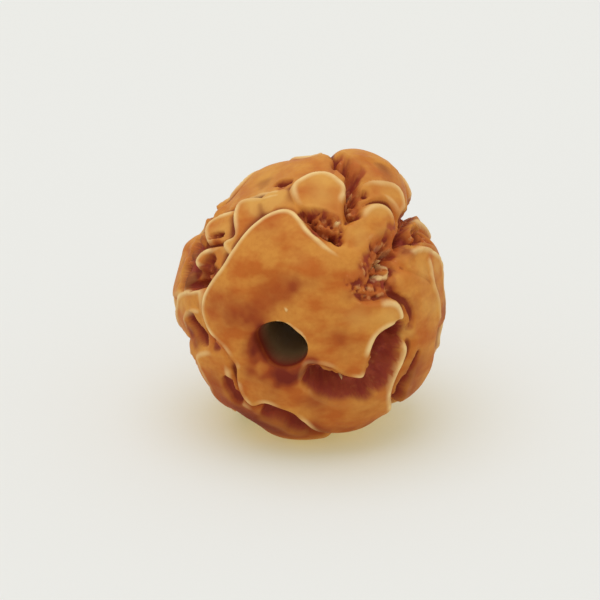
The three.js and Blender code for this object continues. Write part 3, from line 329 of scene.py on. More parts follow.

# Stained and paler areas of the near side, with painted shade in hollows, grooves, gaps and low parts and
# painted light on upper lobes: place, radius and shade, where dark is positive
STAIN_AND_SHADE_WANDER = 0.35
STAINS_AND_SHADE = [
    # The left flank, the scallops beside it, and the left knob
    ((-6.5, 4.3), 1.2, -0.6), ((-5.9, 3.2), 0.8, -0.5), ((-9.4, -1.0), 0.9, -0.7),
    ((-9.1, -2.4), 0.5, 1.2), ((-8.8, -3.1), 0.5, 1.5), ((-8.3, -3.7), 0.45, 1.2),
    ((-9.3, 3.2), 0.9, -0.1), ((-8.0, 3.7), 0.5, 2.5), ((-8.15, 3.1), 0.45, 2.4),
    ((-8.35, 2.5), 0.45, 2.4), ((-8.5, 1.9), 0.45, 2.4), ((-8.6, 1.3), 0.45, 2.4),
    ((-8.7, 0.7), 0.5, 2.2), ((-7.2, 2.0), 0.5, 1.8), ((-7.5, 1.2), 0.5, 1.8), ((-6.8, 3.75), 0.35, 1.3),
    ((-9.8, 1.6), 0.8, -0.2), ((-8.1, 0.9), 0.6, 1.2),
    # The heel, the underside and the low pit
    ((-6.8, -6.8), 1.1, 0.6), ((-6.3, -8.2), 1.3, 0.8), ((-4.4, -9.6), 1.3, 1.2),
    ((-2.4, -10.4), 1.4, 1.3), ((0.6, -10.6), 1.0, 1.0), ((-4.6, -8.9), 1.0, 0.5),
    ((0.6, -10.2), 1.0, 0.8), ((2.6, -10.1), 0.9, 0.8), ((4.4, -9.9), 0.9, 0.8), ((-8.8, -5.2), 0.8, 0.4),
    # The face, above the hole
    ((-1.5, 0.9), 0.8, 0.3), ((-0.9, 0.3), 0.8, 0.5), ((-1.6, -0.4), 0.9, 0.55), ((-2.7, 0.5), 1.0, 0.2),
    ((-6.0, -1.2), 1.4, 0.4), ((-0.9, 2.0), 1.0, -0.15), ((-2.9, 4.6), 1.2, 0.25),
    ((-3.2, -0.9), 1.1, 0.55), ((-4.3, -1.8), 1.2, 0.75), ((-5.4, -1.9), 0.9, 0.3),
    ((0.2, 0.5), 0.7, 0.3), ((1.4, 2.2), 1.1, 0.1), ((-7.0, -0.9), 1.2, 0.3),
    # Round the hole, and from it to the trench
    ((-3.6, -2.4), 0.8, 0.4), ((-3.6, -2.7), 0.5, 1.7), ((-3.95, -3.4), 0.6, 2.0),
    ((-3.85, -4.3), 0.65, 2.0), ((-3.3, -5.1), 0.6, 1.7), ((-2.4, -5.8), 0.8, 1.3),
    ((-1.2, -5.8), 0.9, 1.1), ((-0.3, -5.0), 0.6, 0.6), ((0.4, -5.6), 0.6, 0.8), ((1.4, -5.7), 0.5, 0.7),
    ((2.3, -6.1), 0.5, 0.5), ((-4.35, -3.6), 0.5, 0.8), ((-1.7, -6.2), 0.8, 0.7),
    ((-0.6, -5.9), 0.6, 0.8), ((-4.4, -2.7), 0.5, 0.3), ((-4.35, -4.5), 0.55, 1.0),
    ((-4.0, -5.2), 0.5, 0.8), ((-3.3, -6.1), 0.8, 0.8), ((-4.2, -5.7), 0.7, 0.6),
    ((-0.7, -6.3), 0.6, 0.8), ((0.2, -4.9), 0.5, 0.6),
    # The snout and the edges of the trench
    ((2.3, -3.4), 1.1, 0.45), ((3.5, -4.0), 0.9, 0.25), ((3.4, -1.9), 1.2, -0.4),
    ((5.7, -1.6), 0.8, -0.5), ((6.4, -2.3), 0.5, -0.4), ((7.3, -3.1), 0.5, -0.5),
    # The face, below the hole and the trench
    ((-2.7, -7.5), 0.9, 0.35), ((0.4, -7.8), 0.8, 0.6), ((0.8, -8.2), 1.4, 0.3), ((3.0, -9.3), 1.6, 0.25),
    ((4.6, -8.4), 1.1, 0.25),
    # The rough place on the right, and the shoulder above it
    ((3.8, 4.0), 0.9, -0.4), ((4.9, 5.8), 1.0, -0.6), ((4.9, 4.7), 0.9, 0.4), ((7.3, 3.1), 0.6, 1.2),
    ((4.6, -0.1), 1.0, 0.4), ((3.5, 0.9), 0.9, 0.2), ((5.7, 3.5), 0.6, 0.9), ((6.4, 4.0), 0.6, 0.7),
    ((4.6, 1.9), 0.6, 1.0), ((5.0, 2.8), 0.6, 1.0), ((4.1, 1.3), 0.5, 0.7), ((5.2, 1.1), 0.5, 0.9),
    ((5.7, 0.2), 0.5, 0.8), ((2.9, -0.4), 0.6, 0.7), ((5.6, -0.4), 0.4, 0.7),
    # The crown, the band, the tongue, the arch and the poll
    ((2.8, 9.8), 0.5, 1.2), ((0.9, 8.0), 1.4, -0.5), ((0.8, 6.6), 1.0, -0.3), ((-2.2, 6.9), 1.3, -0.6),
    ((-4.2, 6.6), 1.0, -0.6), ((-3.3, 6.0), 0.9, -1.0), ((-3.4, 8.4), 2.2, -0.4), ((5.6, 7.7), 1.0, -0.4),
    ((-2.9, 6.9), 0.9, -0.4), ((7.2, 7.6), 1.0, 0.4),
    # The cheek, the ear and the right flank
    ((8.3, 1.4), 1.0, -0.5), ((8.8, -0.9), 0.9, -0.3), ((9.4, -0.6), 0.5, -0.5), ((8.2, -5.4), 1.2, 0.35),
    ((7.5, -6.0), 0.9, 0.9), ((7.3, -7.6), 1.1, 1.0), ((7.5, -1.2), 0.8, 0.45), ((9.1, 0.6), 0.6, -0.5),
    ((9.2, 2.0), 0.5, -0.4), ((10.4, -1.5), 0.8, 0.8), ((10.2, -3.8), 0.9, 0.7), ((9.3, 5.4), 1.2, 0.6),
    ((9.9, 3.6), 0.8, 0.5),
]

# The six clefts run on over the far side: longitude about the hole, angle from the near mouth where each
# starts, and its drift, in degrees
FAR_CLEFTS = [(87, 121, -8), (41, 112, -24), (-48, 77, -6), (-114, 76, 0), (-159, 62, -2), (151, 84, -5)]
FAR_CLEFT = {"end": 170, "step": 13, "sway": 14, "width": 0.42, "depth": 1.2, "ragged": 0.6}

# The lobes of the far side are spread evenly over a spiral of places round the seed, each with a drawn
# outline of its own. None lies nearer to the view than the limit, and their strength grows with depth
# behind the seed's middle, from low at lowest to 1 at full.
FAR_LOBES = {
    "spiral": 78,
    "limit": -0.07,
    "jitter": 0.1,
    "radius": 2.35,
    "spread": (0.85, 1.2),
    "length": 1.15,
    "corners": 20,
    "waves": ((2, 0.16), (3, 0.12), (5, 0.07)),
    "height": (0.35, 0.7),
    "lean": (0.11, 0.19),
    "twist": (-0.08, 0.08),
    "low": 0.35,
    "lowest": 0.05,
    "full": 0.4,
    "edge": 0.22,
    "steep": 2.2,
    "bead": 0.09,
}

# How clefts are cut: how far their edges wander beside their half width, coarsely and finely, how steep
# their walls are and how much steeper where ragged, how high fibres stand, and the raggedness past which
# there are chips in their place
CUT = {"coarse": 0.32, "fine": 0.12, "steep": 9, "ragged": 3, "fibre": 0.7, "chipped": 0.65}

# How high the chips of a worn patch stand, and how far the patch lies below what was there
PATCH = {"chip": 0.16, "drop": 0.2}

# The pale line of a lobe's edge, worn wood with a painted highlight: half width, place as a share of the
# rounded edge, the least bead and lean that tell, how pale an edge is where the lobe is level and how much
# more where it leans up, the distance from the lobe's middle where that starts, and how softly one lobe's
# line covers another's
RIM_WEAR_AND_HIGHLIGHT = {
    "width": 0.23, "place": 0.8, "bead": 0.03, "lean": 0.05, "level": 0.35, "uphill": 0.9, "start": 0.3,
    "cover": 0.2,
}
FAR_RIM_WEAR_AND_HIGHLIGHT = 0.6  # how pale the far side's edge lines of wear and painted highlight are beside those of the near side

# Noise over the surface: cells in a millimetre, layers and seed
NOISE = {
    "unevenness": (0.28, 3, 21),
    "stain and shade edge": (0.6, 3, 41),
    "cleft edge": (0.9, 2, 5),
    "fine cleft edge": (2, 2, 8),
    "fibres": (1.9, 2, 11),
    "cleft chips": (1.7, 2, 61),
    "patch chips": (1.9, 2, 31),
    "crumb edge": (2.6, 2, 51),
}
FINER = 2.03  # how many times finer each layer is than the last
FAINTER = 0.5  # how strong each layer is beside the last

# Painted shade: the colour darkens creases and valleys found from the mean relief round about, and is a
# little paler where the surface stands out: rows and columns either side that the mean is taken over, and
# how far below it the surface is all crease or all valley
CREASE_SHADE = (5, 4, 0.25)
VALLEY_SHADE = (9, 7, 0.5)

# The floor, and the light that falls on it: from all round, and softly from above. The floor's glow is
# painted light that lightens and warms the shadows on it, and its colour is bluish so that the lit floor
# stays even in tone
FLOOR_SIDE = 4  # in metres
FLOOR_COLOUR = (0.5, 0.54, 0.69, 1)
FLOOR_GLOW = (0.33, 0.29, 0.11, 1)
SKY_COLOUR = (1, 0.985, 0.93, 1)
SKY_STRENGTH = 0.72
SUN_COLOUR = (1, 1.04, 1.15)
SUN_STRENGTH = 0.9
SUN_SPREAD = np.radians(60)
SUN_FROM = (-0.1, 0.9, 0.45)  # across, up and toward in the view


def unit(v):
    return v / np.linalg.norm(v, axis=-1, keepdims=True)


# A value from 0 to 1 with no visible order, always the same for the same numbers
def scattered(i, j, k, seed=0):
    v = 43758.5453 * np.sin(i * 127.1 + j * 311.7 + k * 74.7 + seed * 53.3)
    return v - np.floor(v)


def draw(i, k):
    return scattered(i, k, 1)


def between(ends, share):
    return ends[0] + (ends[1] - ends[0]) * share


# Smooth three-dimensional noise, about -1 to 1
def noise(points, seed):
    cell = np.floor(points)
    t = points - cell
    t = t * t * t * (t * (t * 6 - 15) + 10)
    i, j, k = cell.T
    total = 0
    for a in (0, 1):
        for b in (0, 1):
            for c in (0, 1):
                weight = np.prod(np.where((a, b, c), t, 1 - t), axis=1)
                total = total + weight * scattered(i + a, j + b, k + c, seed)
    return total * 2 - 1


# One of the kinds of noise, as layers that are each finer and fainter than the last
def layered(directions, kind):
    scale, layers, seed = NOISE[kind]
    total = 0
    for n in range(layers):
        total = total + FAINTER ** n * noise(directions * CORE_RADIUS * scale * FINER ** n, seed + n)
    return total


# 1 at no distance and near 0 past the radius, with a sharper shoulder for a higher power
def falloff(away, radius, power):
    return np.exp(-(away / radius) ** power)


def in_view(across, up, toward):
    return unit(across * ACROSS + up * UP + toward * TOWARD)


# The body's surface before any relief
def body_radius(directions):
    radius = np.full(len(directions), CORE_RADIUS)
    for at, rise, spread in SWELLS:
        radius += rise * np.exp(-(1 - directions @ in_view(*at)) / spread ** 2)
    return radius * (1 - AXIAL_SQUEEZE * directions[:, 1] ** 2)


# The directions to the points seen at (across, up) in the view, which lie this high over the body. The
# radius there depends on the direction, so both are found in rounds.
def lift(points, height):
    p = np.asarray(points, float)
    offset = np.hypot(*p.T) + 1e-9
    radius = np.full(len(p), CORE_RADIUS + height)
    for _ in range(4):
        share = offset / radius
        angle = np.arcsin(np.minimum(share, LIMB)) + np.maximum(share - LIMB, 0) * FOLD
        flat = p * (np.sin(angle) / offset)[:, None]
        directions = flat[:, :1] * ACROSS + flat[:, 1:] * UP + np.cos(angle)[:, None] * TOWARD
        radius = body_radius(directions) + height
    return directions


# The direction to one such point at the usual height of the lobes' tops
def spot(at):
    return lift([at], TOP_HEIGHT)[0]


# Points along a smooth curve through the given ones
def smooth_line(points, closed, steps):
    p = np.asarray(points, float)
    if not closed:
        p = np.vstack([2 * p[0] - p[1], p, 2 * p[-1] - p[-2]])
    count = len(p) if closed else len(p) - 3
    out = []
    for n in range(count):
        a, b, c, d = (p[(n + k - closed) % len(p)] for k in range(4))
        for t in np.arange(steps) / steps:
            bend = (2 * a - 5 * b + 4 * c - d) * t ** 2 + (3 * b - a - 3 * c + d) * t ** 3
            out.append(0.5 * (2 * b + (c - a) * t + bend))
    if not closed:
        out.append(p[-2])
    return np.array(out)


# A flat map of the surface round a middle direction, true to distance from that middle
def flat_map(directions, middle, axis):
    right = unit(axis - (axis @ middle) * middle)
    ahead = np.cross(middle, right)
    angle = np.arccos(np.clip(directions @ middle, -1, 1))
    xy = np.stack([directions @ right, directions @ ahead], 1)
    return xy * (CORE_RADIUS * angle / np.maximum(np.hypot(*xy.T), 1e-9))[:, None]


# Distance from points to a closed outline, positive inside it
def distance_inside(points, outline):
    nearest = np.full(len(points), np.inf)
    inside = np.zeros(len(points), bool)
    x, y = points.T
    for a, b in zip(outline, np.roll(outline, -1, 0)):
        side = b - a
        along = np.clip((points - a) @ side / (side @ side), 0, 1)
        nearest = np.minimum(nearest, np.hypot(*(points - a - along[:, None] * side).T))
        if a[1] != b[1]:
            inside ^= ((a[1] > y) != (b[1] > y)) & (x < a[0] + (y - a[1]) * side[0] / side[1])
    return np.where(inside, nearest, -nearest)


# The higher of the two, rounded where they cross
def smooth_max(a, b, blend):
    t = np.clip(0.5 + 0.5 * (b - a) / blend, 0, 1)
    return a * (1 - t) + b * t + blend * t * (1 - t)


def angle_from(directions, middle):
    return np.arccos(np.clip(directions @ middle, -1, 1))


# Distance over the surface from each direction to a line, or to its only point
def distance_to_line(directions, line):
    nearest = np.linalg.norm(directions - line[0], axis=1)
    for a, b in zip(line[:-1], line[1:]):
        along = np.clip((directions - a) @ (b - a) / ((b - a) @ (b - a)), 0, 1)
        nearest = np.minimum(nearest, np.linalg.norm(directions - a - along[:, None] * (b - a), axis=1))
    return CORE_RADIUS * nearest


# How much of a place with this raggedness its tufts and chips can cover
def tufted(ragged):
    return np.clip(1.4 * ragged - 0.15, 0, 1)


# The surface as arrays over the directions: relief in millimetres; from 0 to 1 the pale rims of wear and
# painted highlight, the pits of the clefts with their painted shade, and the tufts in them; and the stains
# with painted shade and light, over 1 where darkest and negative where paler
class Surface:
    def __init__(self, directions):
        self.directions = directions
        self.relief = np.zeros(len(directions))
        self.rim = np.zeros(len(directions))
        self.pit_and_shade = np.zeros(len(directions))
        self.tufts = np.zeros(len(directions))
        self.stain_and_shade = np.zeros(len(directions))

    # The directions less than this angle from the middle
    def within(self, middle, reach):
        return np.where(self.directions @ middle > np.cos(min(reach, np.pi)))[0]

    def distance(self, middle):
        return CORE_RADIUS * angle_from(self.directions, middle)

    # A lobe hides what is lower, and the pale lines on it of wear and painted highlight
    def add_lobe(self, middle, axis, outline, height, lean, edge, steep, bead):
        near = self.within(middle, (np.hypot(*outline.T).max() + LOBE_MARGIN) / CORE_RADIUS)
        at = flat_map(self.directions[near], middle, axis)
        inside = distance_inside(at, outline)
        rounded = steep * (edge - inside) ** 2 / (4 * edge)
        drop = np.where(inside > edge, 0, np.where(inside > -edge, rounded, -steep * inside))
        rise = at @ np.array(lean)
        top = height + rise - drop + bead * falloff(inside - edge, RIM_WIDTH, 2)
        before = self.relief[near]
        self.relief[near] = smooth_max(before, top, LOBE_BLEND)
        # The pale line of wear and painted highlight runs along free edges alone, which are those the lobe
        # leans up to
        line = falloff(inside - RIM_WEAR_AND_HIGHLIGHT["place"] * edge, RIM_WEAR_AND_HIGHLIGHT["width"], 2)
        line *= np.clip((bead - RIM_WEAR_AND_HIGHLIGHT["bead"]) / RIM_WEAR_AND_HIGHLIGHT["bead"], 0, 1)
        tilt = np.hypot(*lean)
        if tilt > RIM_WEAR_AND_HIGHLIGHT["lean"]:
            uphill = rise / tilt / np.maximum(np.hypot(*at.T), RIM_WEAR_AND_HIGHLIGHT["start"])
            line *= np.clip(RIM_WEAR_AND_HIGHLIGHT["level"] + RIM_WEAR_AND_HIGHLIGHT["uphill"] * uphill, 0, 1)
        over = np.clip(0.5 + (top - before) / RIM_WEAR_AND_HIGHLIGHT["cover"], 0, 1)
        self.rim[near] = self.rim[near] * (1 - over) + line * over

    def add_hollow(self, middle, radius, depth):
        self.relief -= depth * falloff(self.distance(middle), radius, 2)

    def add_groove(self, line, width, depth, ragged):
        middle = unit(line.mean(0))
        reach = angle_from(line, middle).max() + 3 * width / CORE_RADIUS + 0.1
        near = self.within(middle, reach)
        here = self.directions[near]
        wander = CUT["coarse"] * layered(here, "cleft edge")
        wander += CUT["fine"] * layered(here, "fine cleft edge")
        away = distance_to_line(here, line) + width * wander
        cut = 1 / (1 + np.exp((CUT["steep"] + CUT["ragged"] * ragged) * (away / width - 1)))
        # Fibres stand up as sharp ridges with rounded pits between them, and chips as blocks
        if ragged > CUT["chipped"]:
            loose = 0.7 * np.tanh(4 * layered(here, "cleft chips"))
        else:
            loose = 0.5 - 2 * np.abs(layered(here, "fibres"))
        raised = CUT["fibre"] * ragged * loose
        self.relief[near] -= cut * (depth - raised)
        # Painted shade: a cleft is darker the deeper it is, less so on fibres that stand up, and dark up
        # to the brink of its walls
        shade = np.clip(4 * cut - 0.3, 0, 1) * np.clip(0.2 + 0.5 * depth - raised, 0, 1)
        self.pit_and_shade[near] = np.maximum(self.pit_and_shade[near], shade)
        self.tufts[near] = np.maximum(self.tufts[near], cut * tufted(ragged) * np.clip(0.7 + loose, 0, 1))
        self.rim[near] *= np.clip(1 - 4 * cut, 0, 1)

    def add_patch(self, middle, radius, ragged, chips):
        weight = falloff(self.distance(middle), radius, 4)
        self.relief += weight * ragged * (PATCH["chip"] * chips - PATCH["drop"])
        # Painted shade between the chips of a worn patch
        self.pit_and_shade = np.maximum(self.pit_and_shade, weight * np.clip(0.3 - 0.6 * chips, 0, 0.9) * min(1, ragged + 0.1))
        self.tufts = np.maximum(self.tufts, weight * tufted(ragged) * np.clip(0.3 + 0.7 * chips, 0, 1))
        self.rim *= 1 - weight

    # A ridge, chip or crumb stands up with its top pale in the rims' colour of wear and painted highlight
    def add_ridge(self, line, radius, height, power, wander, paleness):
        near = self.within(unit(line.mean(0)), RIDGE_REACH)
        here = self.directions[near]
        away = distance_to_line(here, line) + wander * layered(here, "crumb edge")
        weight = falloff(np.maximum(away, 0), radius, power)
        self.relief[near] += height * weight
        self.rim[near] = np.maximum(self.rim[near], paleness * weight)

    def clear_rim_line(self, middle, radius):
        self.rim *= 1 - falloff(self.distance(middle), radius, 4)

    # Darkens and lightens round a place: stains and paler areas, partly painted shade and light
    def add_stain_and_shade(self, middle, radius, shade, wander):
        self.stain_and_shade += shade * falloff(self.distance(middle) + STAIN_AND_SHADE_WANDER * wander, radius, 2)

    def points(self):
        return self.directions * (body_radius(self.directions) + self.relief)[:, None]


# The far side's lobes lie like shingles: each leans up away from the nearer mouth
def add_far_lobes(surface):
    golden_angle = np.pi * (3 - np.sqrt(5))
    turns = np.arange(FAR_LOBES["corners"]) * 2 * np.pi / FAR_LOBES["corners"]
    for i in range(FAR_LOBES["spiral"]):
        toward = 1 - 2 * (i + 0.5) / FAR_LOBES["spiral"]
        if toward > FAR_LOBES["limit"]:
            continue
        side = np.sqrt(1 - toward ** 2)
        shift = np.array([draw(i, k) - 0.5 for k in (1, 2, 3)])
        middle = in_view(side * np.cos(i * golden_angle), side * np.sin(i * golden_angle), toward)
        middle = unit(middle + FAR_LOBES["jitter"] * shift)
        wave = np.ones(len(turns))
        for n, (count, size) in enumerate(FAR_LOBES["waves"]):
            wave += size * np.cos(count * turns + 2 * np.pi * draw(i, 5 + n))
        radius = FAR_LOBES["radius"] * between(FAR_LOBES["spread"], draw(i, 4)) * wave
        outline = np.stack([FAR_LOBES["length"] * radius * np.cos(turns), radius * np.sin(turns)], 1)
        rise = (-toward - FAR_LOBES["lowest"]) / (FAR_LOBES["full"] - FAR_LOBES["lowest"])
        strength = between((FAR_LOBES["low"], 1), np.clip(rise, 0, 1))
        height = strength * between(FAR_LOBES["height"], draw(i, 8))
        lean = strength * between(FAR_LOBES["lean"], draw(i, 9))
        twist = strength * between(FAR_LOBES["twist"], draw(i, 10))
        away = np.array([0, -1.0 if middle[1] > 0 else 1.0, 0])
        edges = (FAR_LOBES["edge"], FAR_LOBES["steep"], strength * FAR_LOBES["bead"])
        surface.add_lobe(middle, away, smooth_line(outline, True, 3), height, (lean, twist), *edges)


# The direction at an angle from the near mouth and a longitude about the hole, in degrees
def about_hole(angle, longitude):
    a, b = np.radians((angle, longitude))
    return np.array([np.sin(a) * np.cos(b), -np.cos(a), np.sin(a) * np.sin(b)])


def add_far_clefts(surface):
    for i, (longitude, start, drift) in enumerate(FAR_CLEFTS):
        span = FAR_CLEFT["end"] - start
        steps = max(4, int(span / FAR_CLEFT["step"]))
        line = [about_hole(start, longitude)]
        for k in range(1, steps + 1):
            sway = FAR_CLEFT["sway"] * (draw(i + 60, k) - 0.5)
            line.append(about_hole(start + span * k / steps, longitude + drift * k / steps + sway))
        surface.add_groove(np.array(line), FAR_CLEFT["width"], FAR_CLEFT["depth"], FAR_CLEFT["ragged"])


# The whole surface, from the lobes down to the stains
def carve(directions):
    surface = Surface(directions)
    for outline, height, lean, edge, steep, bead in LOBES.values():
        line = lift(smooth_line(outline, True, 4), height)
        middle = unit(line.mean(0))
        surface.add_lobe(middle, ACROSS, flat_map(line, middle, ACROSS), height, lean, edge, steep, bead)
    add_far_lobes(surface)
    for at, radius, depth in HOLLOWS:
        surface.add_hollow(spot(at), radius, depth)
    for side, shift, radius, depth in DISHES:
        mouth = np.array([shift, side * MOUTH_DISTANCE, -HOLE_DROP])
        surface.add_hollow(unit(mouth), radius, depth)
    for line, width, depth, ragged in GROOVES.values():
        surface.add_groove(lift(smooth_line(line, False, 4), GROOVE_HEIGHT), width, depth, ragged)
    add_far_clefts(surface)
    chips = np.tanh(3 * layered(directions, "patch chips"))
    for at, radius, ragged in PATCHES:
        surface.add_patch(spot(at), radius, ragged, chips)
    for at, radius in NO_RIM_LINE:
        surface.clear_rim_line(spot(at), radius)
    for lines, power, wander, paleness in RAISED:
        for line, radius, height in lines:
            surface.add_ridge(lift(line, TOP_HEIGHT), radius, height, power, wander, paleness)
    # The rims' paleness, wear and painted highlight, lessens from the seed's outline in the view to a
    # little way round the far side
    surface.rim *= between((FAR_RIM_WEAR_AND_HIGHLIGHT, 1), np.clip(1 + 4 * directions @ TOWARD, 0, 1))
    # Stains and paler areas, with painted shade and light
    wander = layered(directions, "stain and shade edge")
    for at, radius, shade in STAINS_AND_SHADE:
        surface.add_stain_and_shade(spot(at), radius, shade, wander)
    surface.relief += UNEVENNESS * layered(directions, "unevenness")
    return surface


# Directions of the outer surface in rings round the hole's axis, drawn in near the mouths to where the
# lowered hole meets the surface
def outer_directions():
    near = np.linspace(MOUTH_ANGLE, np.pi / 2, NEAR_RINGS, endpoint=False)
    far = np.linspace(np.pi / 2, np.pi - MOUTH_ANGLE, FAR_RINGS)
    turn = np.arange(COLUMNS) * 2 * np.pi / COLUMNS
    angle, turn = np.meshgrid(np.concatenate([near, far]), turn, indexing="ij")
    for at, spread, swell in MOUTH_SHAPE:
        angle = angle * (1 + swell * falloff(turn - at, spread, 2) * falloff(angle, SHAPE_FADE, 4))
    grid = np.stack([np.sin(angle) * np.cos(turn), -np.cos(angle), np.sin(angle) * np.sin(turn)], -1)
    from_axis = np.minimum(angle, np.pi - angle)
    grid[..., 2] -= HOLE_DROP / MOUTH_DISTANCE * falloff(from_axis, DROP_FADE, 4)
    return unit(grid.reshape(-1, 3))


# Rings of the hole's wall, from the far mouth back to the near one
def hole_rings(far_ring, near_ring):
    drop = np.array([0, 0, HOLE_DROP])
    rings = []
    for share in np.arange(1, HOLE_RINGS + 1) / (HOLE_RINGS + 1):
        ring = far_ring * (1 - share) + near_ring * share + drop
        radius = np.hypot(ring[:, 0], ring[:, 2])
        pull = min(1, min(share, 1 - share) / HOLE_FLARE)
        ring[:, [0, 2]] *= (1 - pull + pull * HOLE_RADIUS / radius)[:, None]
        rings.append(ring - drop)
    return np.array(rings)


# Mean over a window of rows and columns either side; the columns go on round the seed
def blurred(grid, rows, columns):
    for axis, half, mode in ((0, rows, "edge"), (1, columns, "wrap")):
        pad = [(0, 0), (0, 0)]
        pad[axis] = (half + 1, half)
        running = np.cumsum(np.pad(grid, pad, mode=mode), axis)
        count = grid.shape[axis]
        high = np.take(running, np.arange(2 * half + 1, 2 * half + 1 + count), axis)
        low = np.take(running, np.arange(count), axis)
        grid = (high - low) / (2 * half + 1)
    return grid


# From 1 where the surface lies below its surroundings to -1 where it stands out of them
def sunk(relief, rows, columns, depth):
    around = blurred(blurred(relief, rows, columns), rows, columns)
    return np.clip((around - relief) / depth, -1, 1).ravel()


def make_seed():
    surface = carve(outer_directions())
    outer = surface.points().reshape(-1, COLUMNS, 3)
    grid = np.concatenate([outer, hole_rings(outer[-1], outer[0])])
    points = grid.reshape(-1, 3) + CENTRE
    low, high = (np.array(corner) / MM for corner in cad_box)
    points = np.clip(points, low, high)
    # The grid closes on itself both ways, round the axis and through the hole, with its faces outward
    index = np.arange(len(points)).reshape(-1, COLUMNS)
    below = np.roll(index, -1, 0)
    faces = np.stack([index, below, np.roll(below, -1, 1), np.roll(index, -1, 1)], -1).reshape(-1, 4)
    mesh = bpy.data.meshes.new("seed")
    mesh.from_pydata((points * MM).tolist(), [], faces.tolist())
    mesh.polygons.foreach_set("use_smooth", np.ones(len(faces), bool))
    relief = surface.relief.reshape(-1, COLUMNS)
    into_hole = np.minimum(np.arange(1, HOLE_RINGS + 1), np.arange(HOLE_RINGS, 0, -1)) / MOUTH_RINGS
    shades = {
        "rim": surface.rim,
        "pit_and_shade": surface.pit_and_shade,
        "tufts": surface.tufts,
        "stain_and_shade": surface.stain_and_shade,
        # Painted shade for the creases and valleys
        "crease_shade": sunk(relief, *CREASE_SHADE),
        "valley_shade": sunk(relief, *VALLEY_SHADE),
        "hole": np.concatenate([np.zeros(len(surface.rim)), np.clip(into_hole, 0, 1).repeat(COLUMNS)]),
    }
    for name, values in shades.items():
        full = np.zeros(len(points))
        full[:len(values)] = values
        mesh.attributes.new(name, "FLOAT", "POINT").data.foreach_set("value", full.astype(np.float32))
    seed = bpy.data.objects.new("seed_stone", mesh)
    bpy.context.collection.objects.link(seed)
    return seed


# A colour for the shaders from its red, green and blue as a screen shows them, 0 to 255
def linear(red, green, blue):
    shares = np.array([red, green, blue]) / 255
    light = np.where(shares > 0.04045, ((shares + 0.055) / 1.055) ** 2.4, shares / 12.92)
    return (*light.tolist(), 1)


# A material's node tree, with the few kinds of node that the wood needs
class Shading:
    def __init__(self, name):
        self.material = bpy.data.materials.new(name)
        self.material.use_nodes = True
        self.nodes = self.material.node_tree.nodes
        self.shader = self.nodes["Principled BSDF"]
        self.place = self.nodes.new("ShaderNodeTexCoord").outputs["Object"]

    def link(self, source, socket):
        self.material.node_tree.links.new(source, socket)

    def attribute(self, name):
        node = self.nodes.new("ShaderNodeAttribute")
        node.attribute_name = name
        return node.outputs["Fac"]

    def noise(self, size, detail, stretch=(1, 1, 1)):
        spread = self.nodes.new("ShaderNodeMapping")
        spread.inputs["Scale"].default_value = stretch
        self.link(self.place, spread.inputs["Vector"])
        node = self.nodes.new("ShaderNodeTexNoise")
        node.inputs["Scale"].default_value = 1 / (size * MM)
        node.inputs["Detail"].default_value = detail
        self.link(spread.outputs[0], node.inputs["Vector"])
        return node.outputs["Fac"]

    def ramp(self, source, start, end, low=0, high=1):
        node = self.nodes.new("ShaderNodeMapRange")
        self.link(source, node.inputs["Value"])
        for name, value in (("From Min", start), ("From Max", end), ("To Min", low), ("To Max", high)):
            node.inputs[name].default_value = value
        return node.outputs[0]

    def product(self, a, b):
        node = self.nodes.new("ShaderNodeMath")
        node.operation = "MULTIPLY"
        self.link(a, node.inputs[0])
        self.link(b, node.inputs[1])
        return node.outputs[0]

    def mix(self, share, a, b):
        node = self.nodes.new("ShaderNodeMix")
        node.data_type = "RGBA"
        self.link(share, node.inputs["Factor"])
        # Inputs 6 and 7 are the two colours
        for socket, colour in ((node.inputs[6], a), (node.inputs[7], b)):
            if isinstance(colour, tuple):
                socket.default_value = colour
            else:
                self.link(colour, socket)
        return node.outputs[2]

    def bump(self, height, strength, distance, under=None):
        node = self.nodes.new("ShaderNodeBump")
        node.inputs["Strength"].default_value = strength
        node.inputs["Distance"].default_value = distance * MM
        self.link(height, node.inputs["Height"])
        if under is not None:
            self.link(under, node.inputs["Normal"])
        return node.outputs[0]


WOOD = {
    "deep tan": linear(194, 106, 40),
    "light tan": linear(214, 143, 62),
    "grain": linear(172, 90, 28),
    # Colours of the stains, which also carry painted shade
    "stain_and_shade": linear(152, 60, 26),
    "dark stain and shade": linear(112, 34, 24),
    "pale": linear(226, 174, 90),
    # Colours of the painted shade in valleys and creases
    "valley_shade": linear(158, 66, 26),
    "crease_shade": linear(118, 42, 20),
    # The clefts' own colour, which also carries their painted shade
    "pit_and_shade": linear(154, 63, 49),
    "fibre": linear(200, 108, 50),
    "chip": linear(226, 166, 104),
    # The rims' pale colour: worn wood with painted highlight
    "rim": linear(241, 206, 142),
    "hole mouth": linear(132, 42, 28),
    "hole": linear(160, 134, 94),
}

# Layers of colour over the tan wood, from the lowest up: attribute, where the layer starts and where it is
# full, how strong it then is, and its colour
LAYERS = [
    # Stains and paler areas, with painted shade and light
    ("stain_and_shade", 0, 1, 0.85, "stain_and_shade"),
    ("stain_and_shade", 0.9, 2, 0.9, "dark stain and shade"),
    ("stain_and_shade", 0, -0.7, 0.7, "pale"),
    # Painted shade in valleys and creases, and a little paler where the surface stands out
    ("valley_shade", 0.02, 0.9, 0.8, "valley_shade"),
    ("crease_shade", 0.12, 0.6, 0.85, "crease_shade"),
    ("crease_shade", -0.15, -0.8, 0.15, "pale"),
    # The clefts' colour with their painted shade
    ("pit_and_shade", 0.08, 1, 0.95, "pit_and_shade"),
]


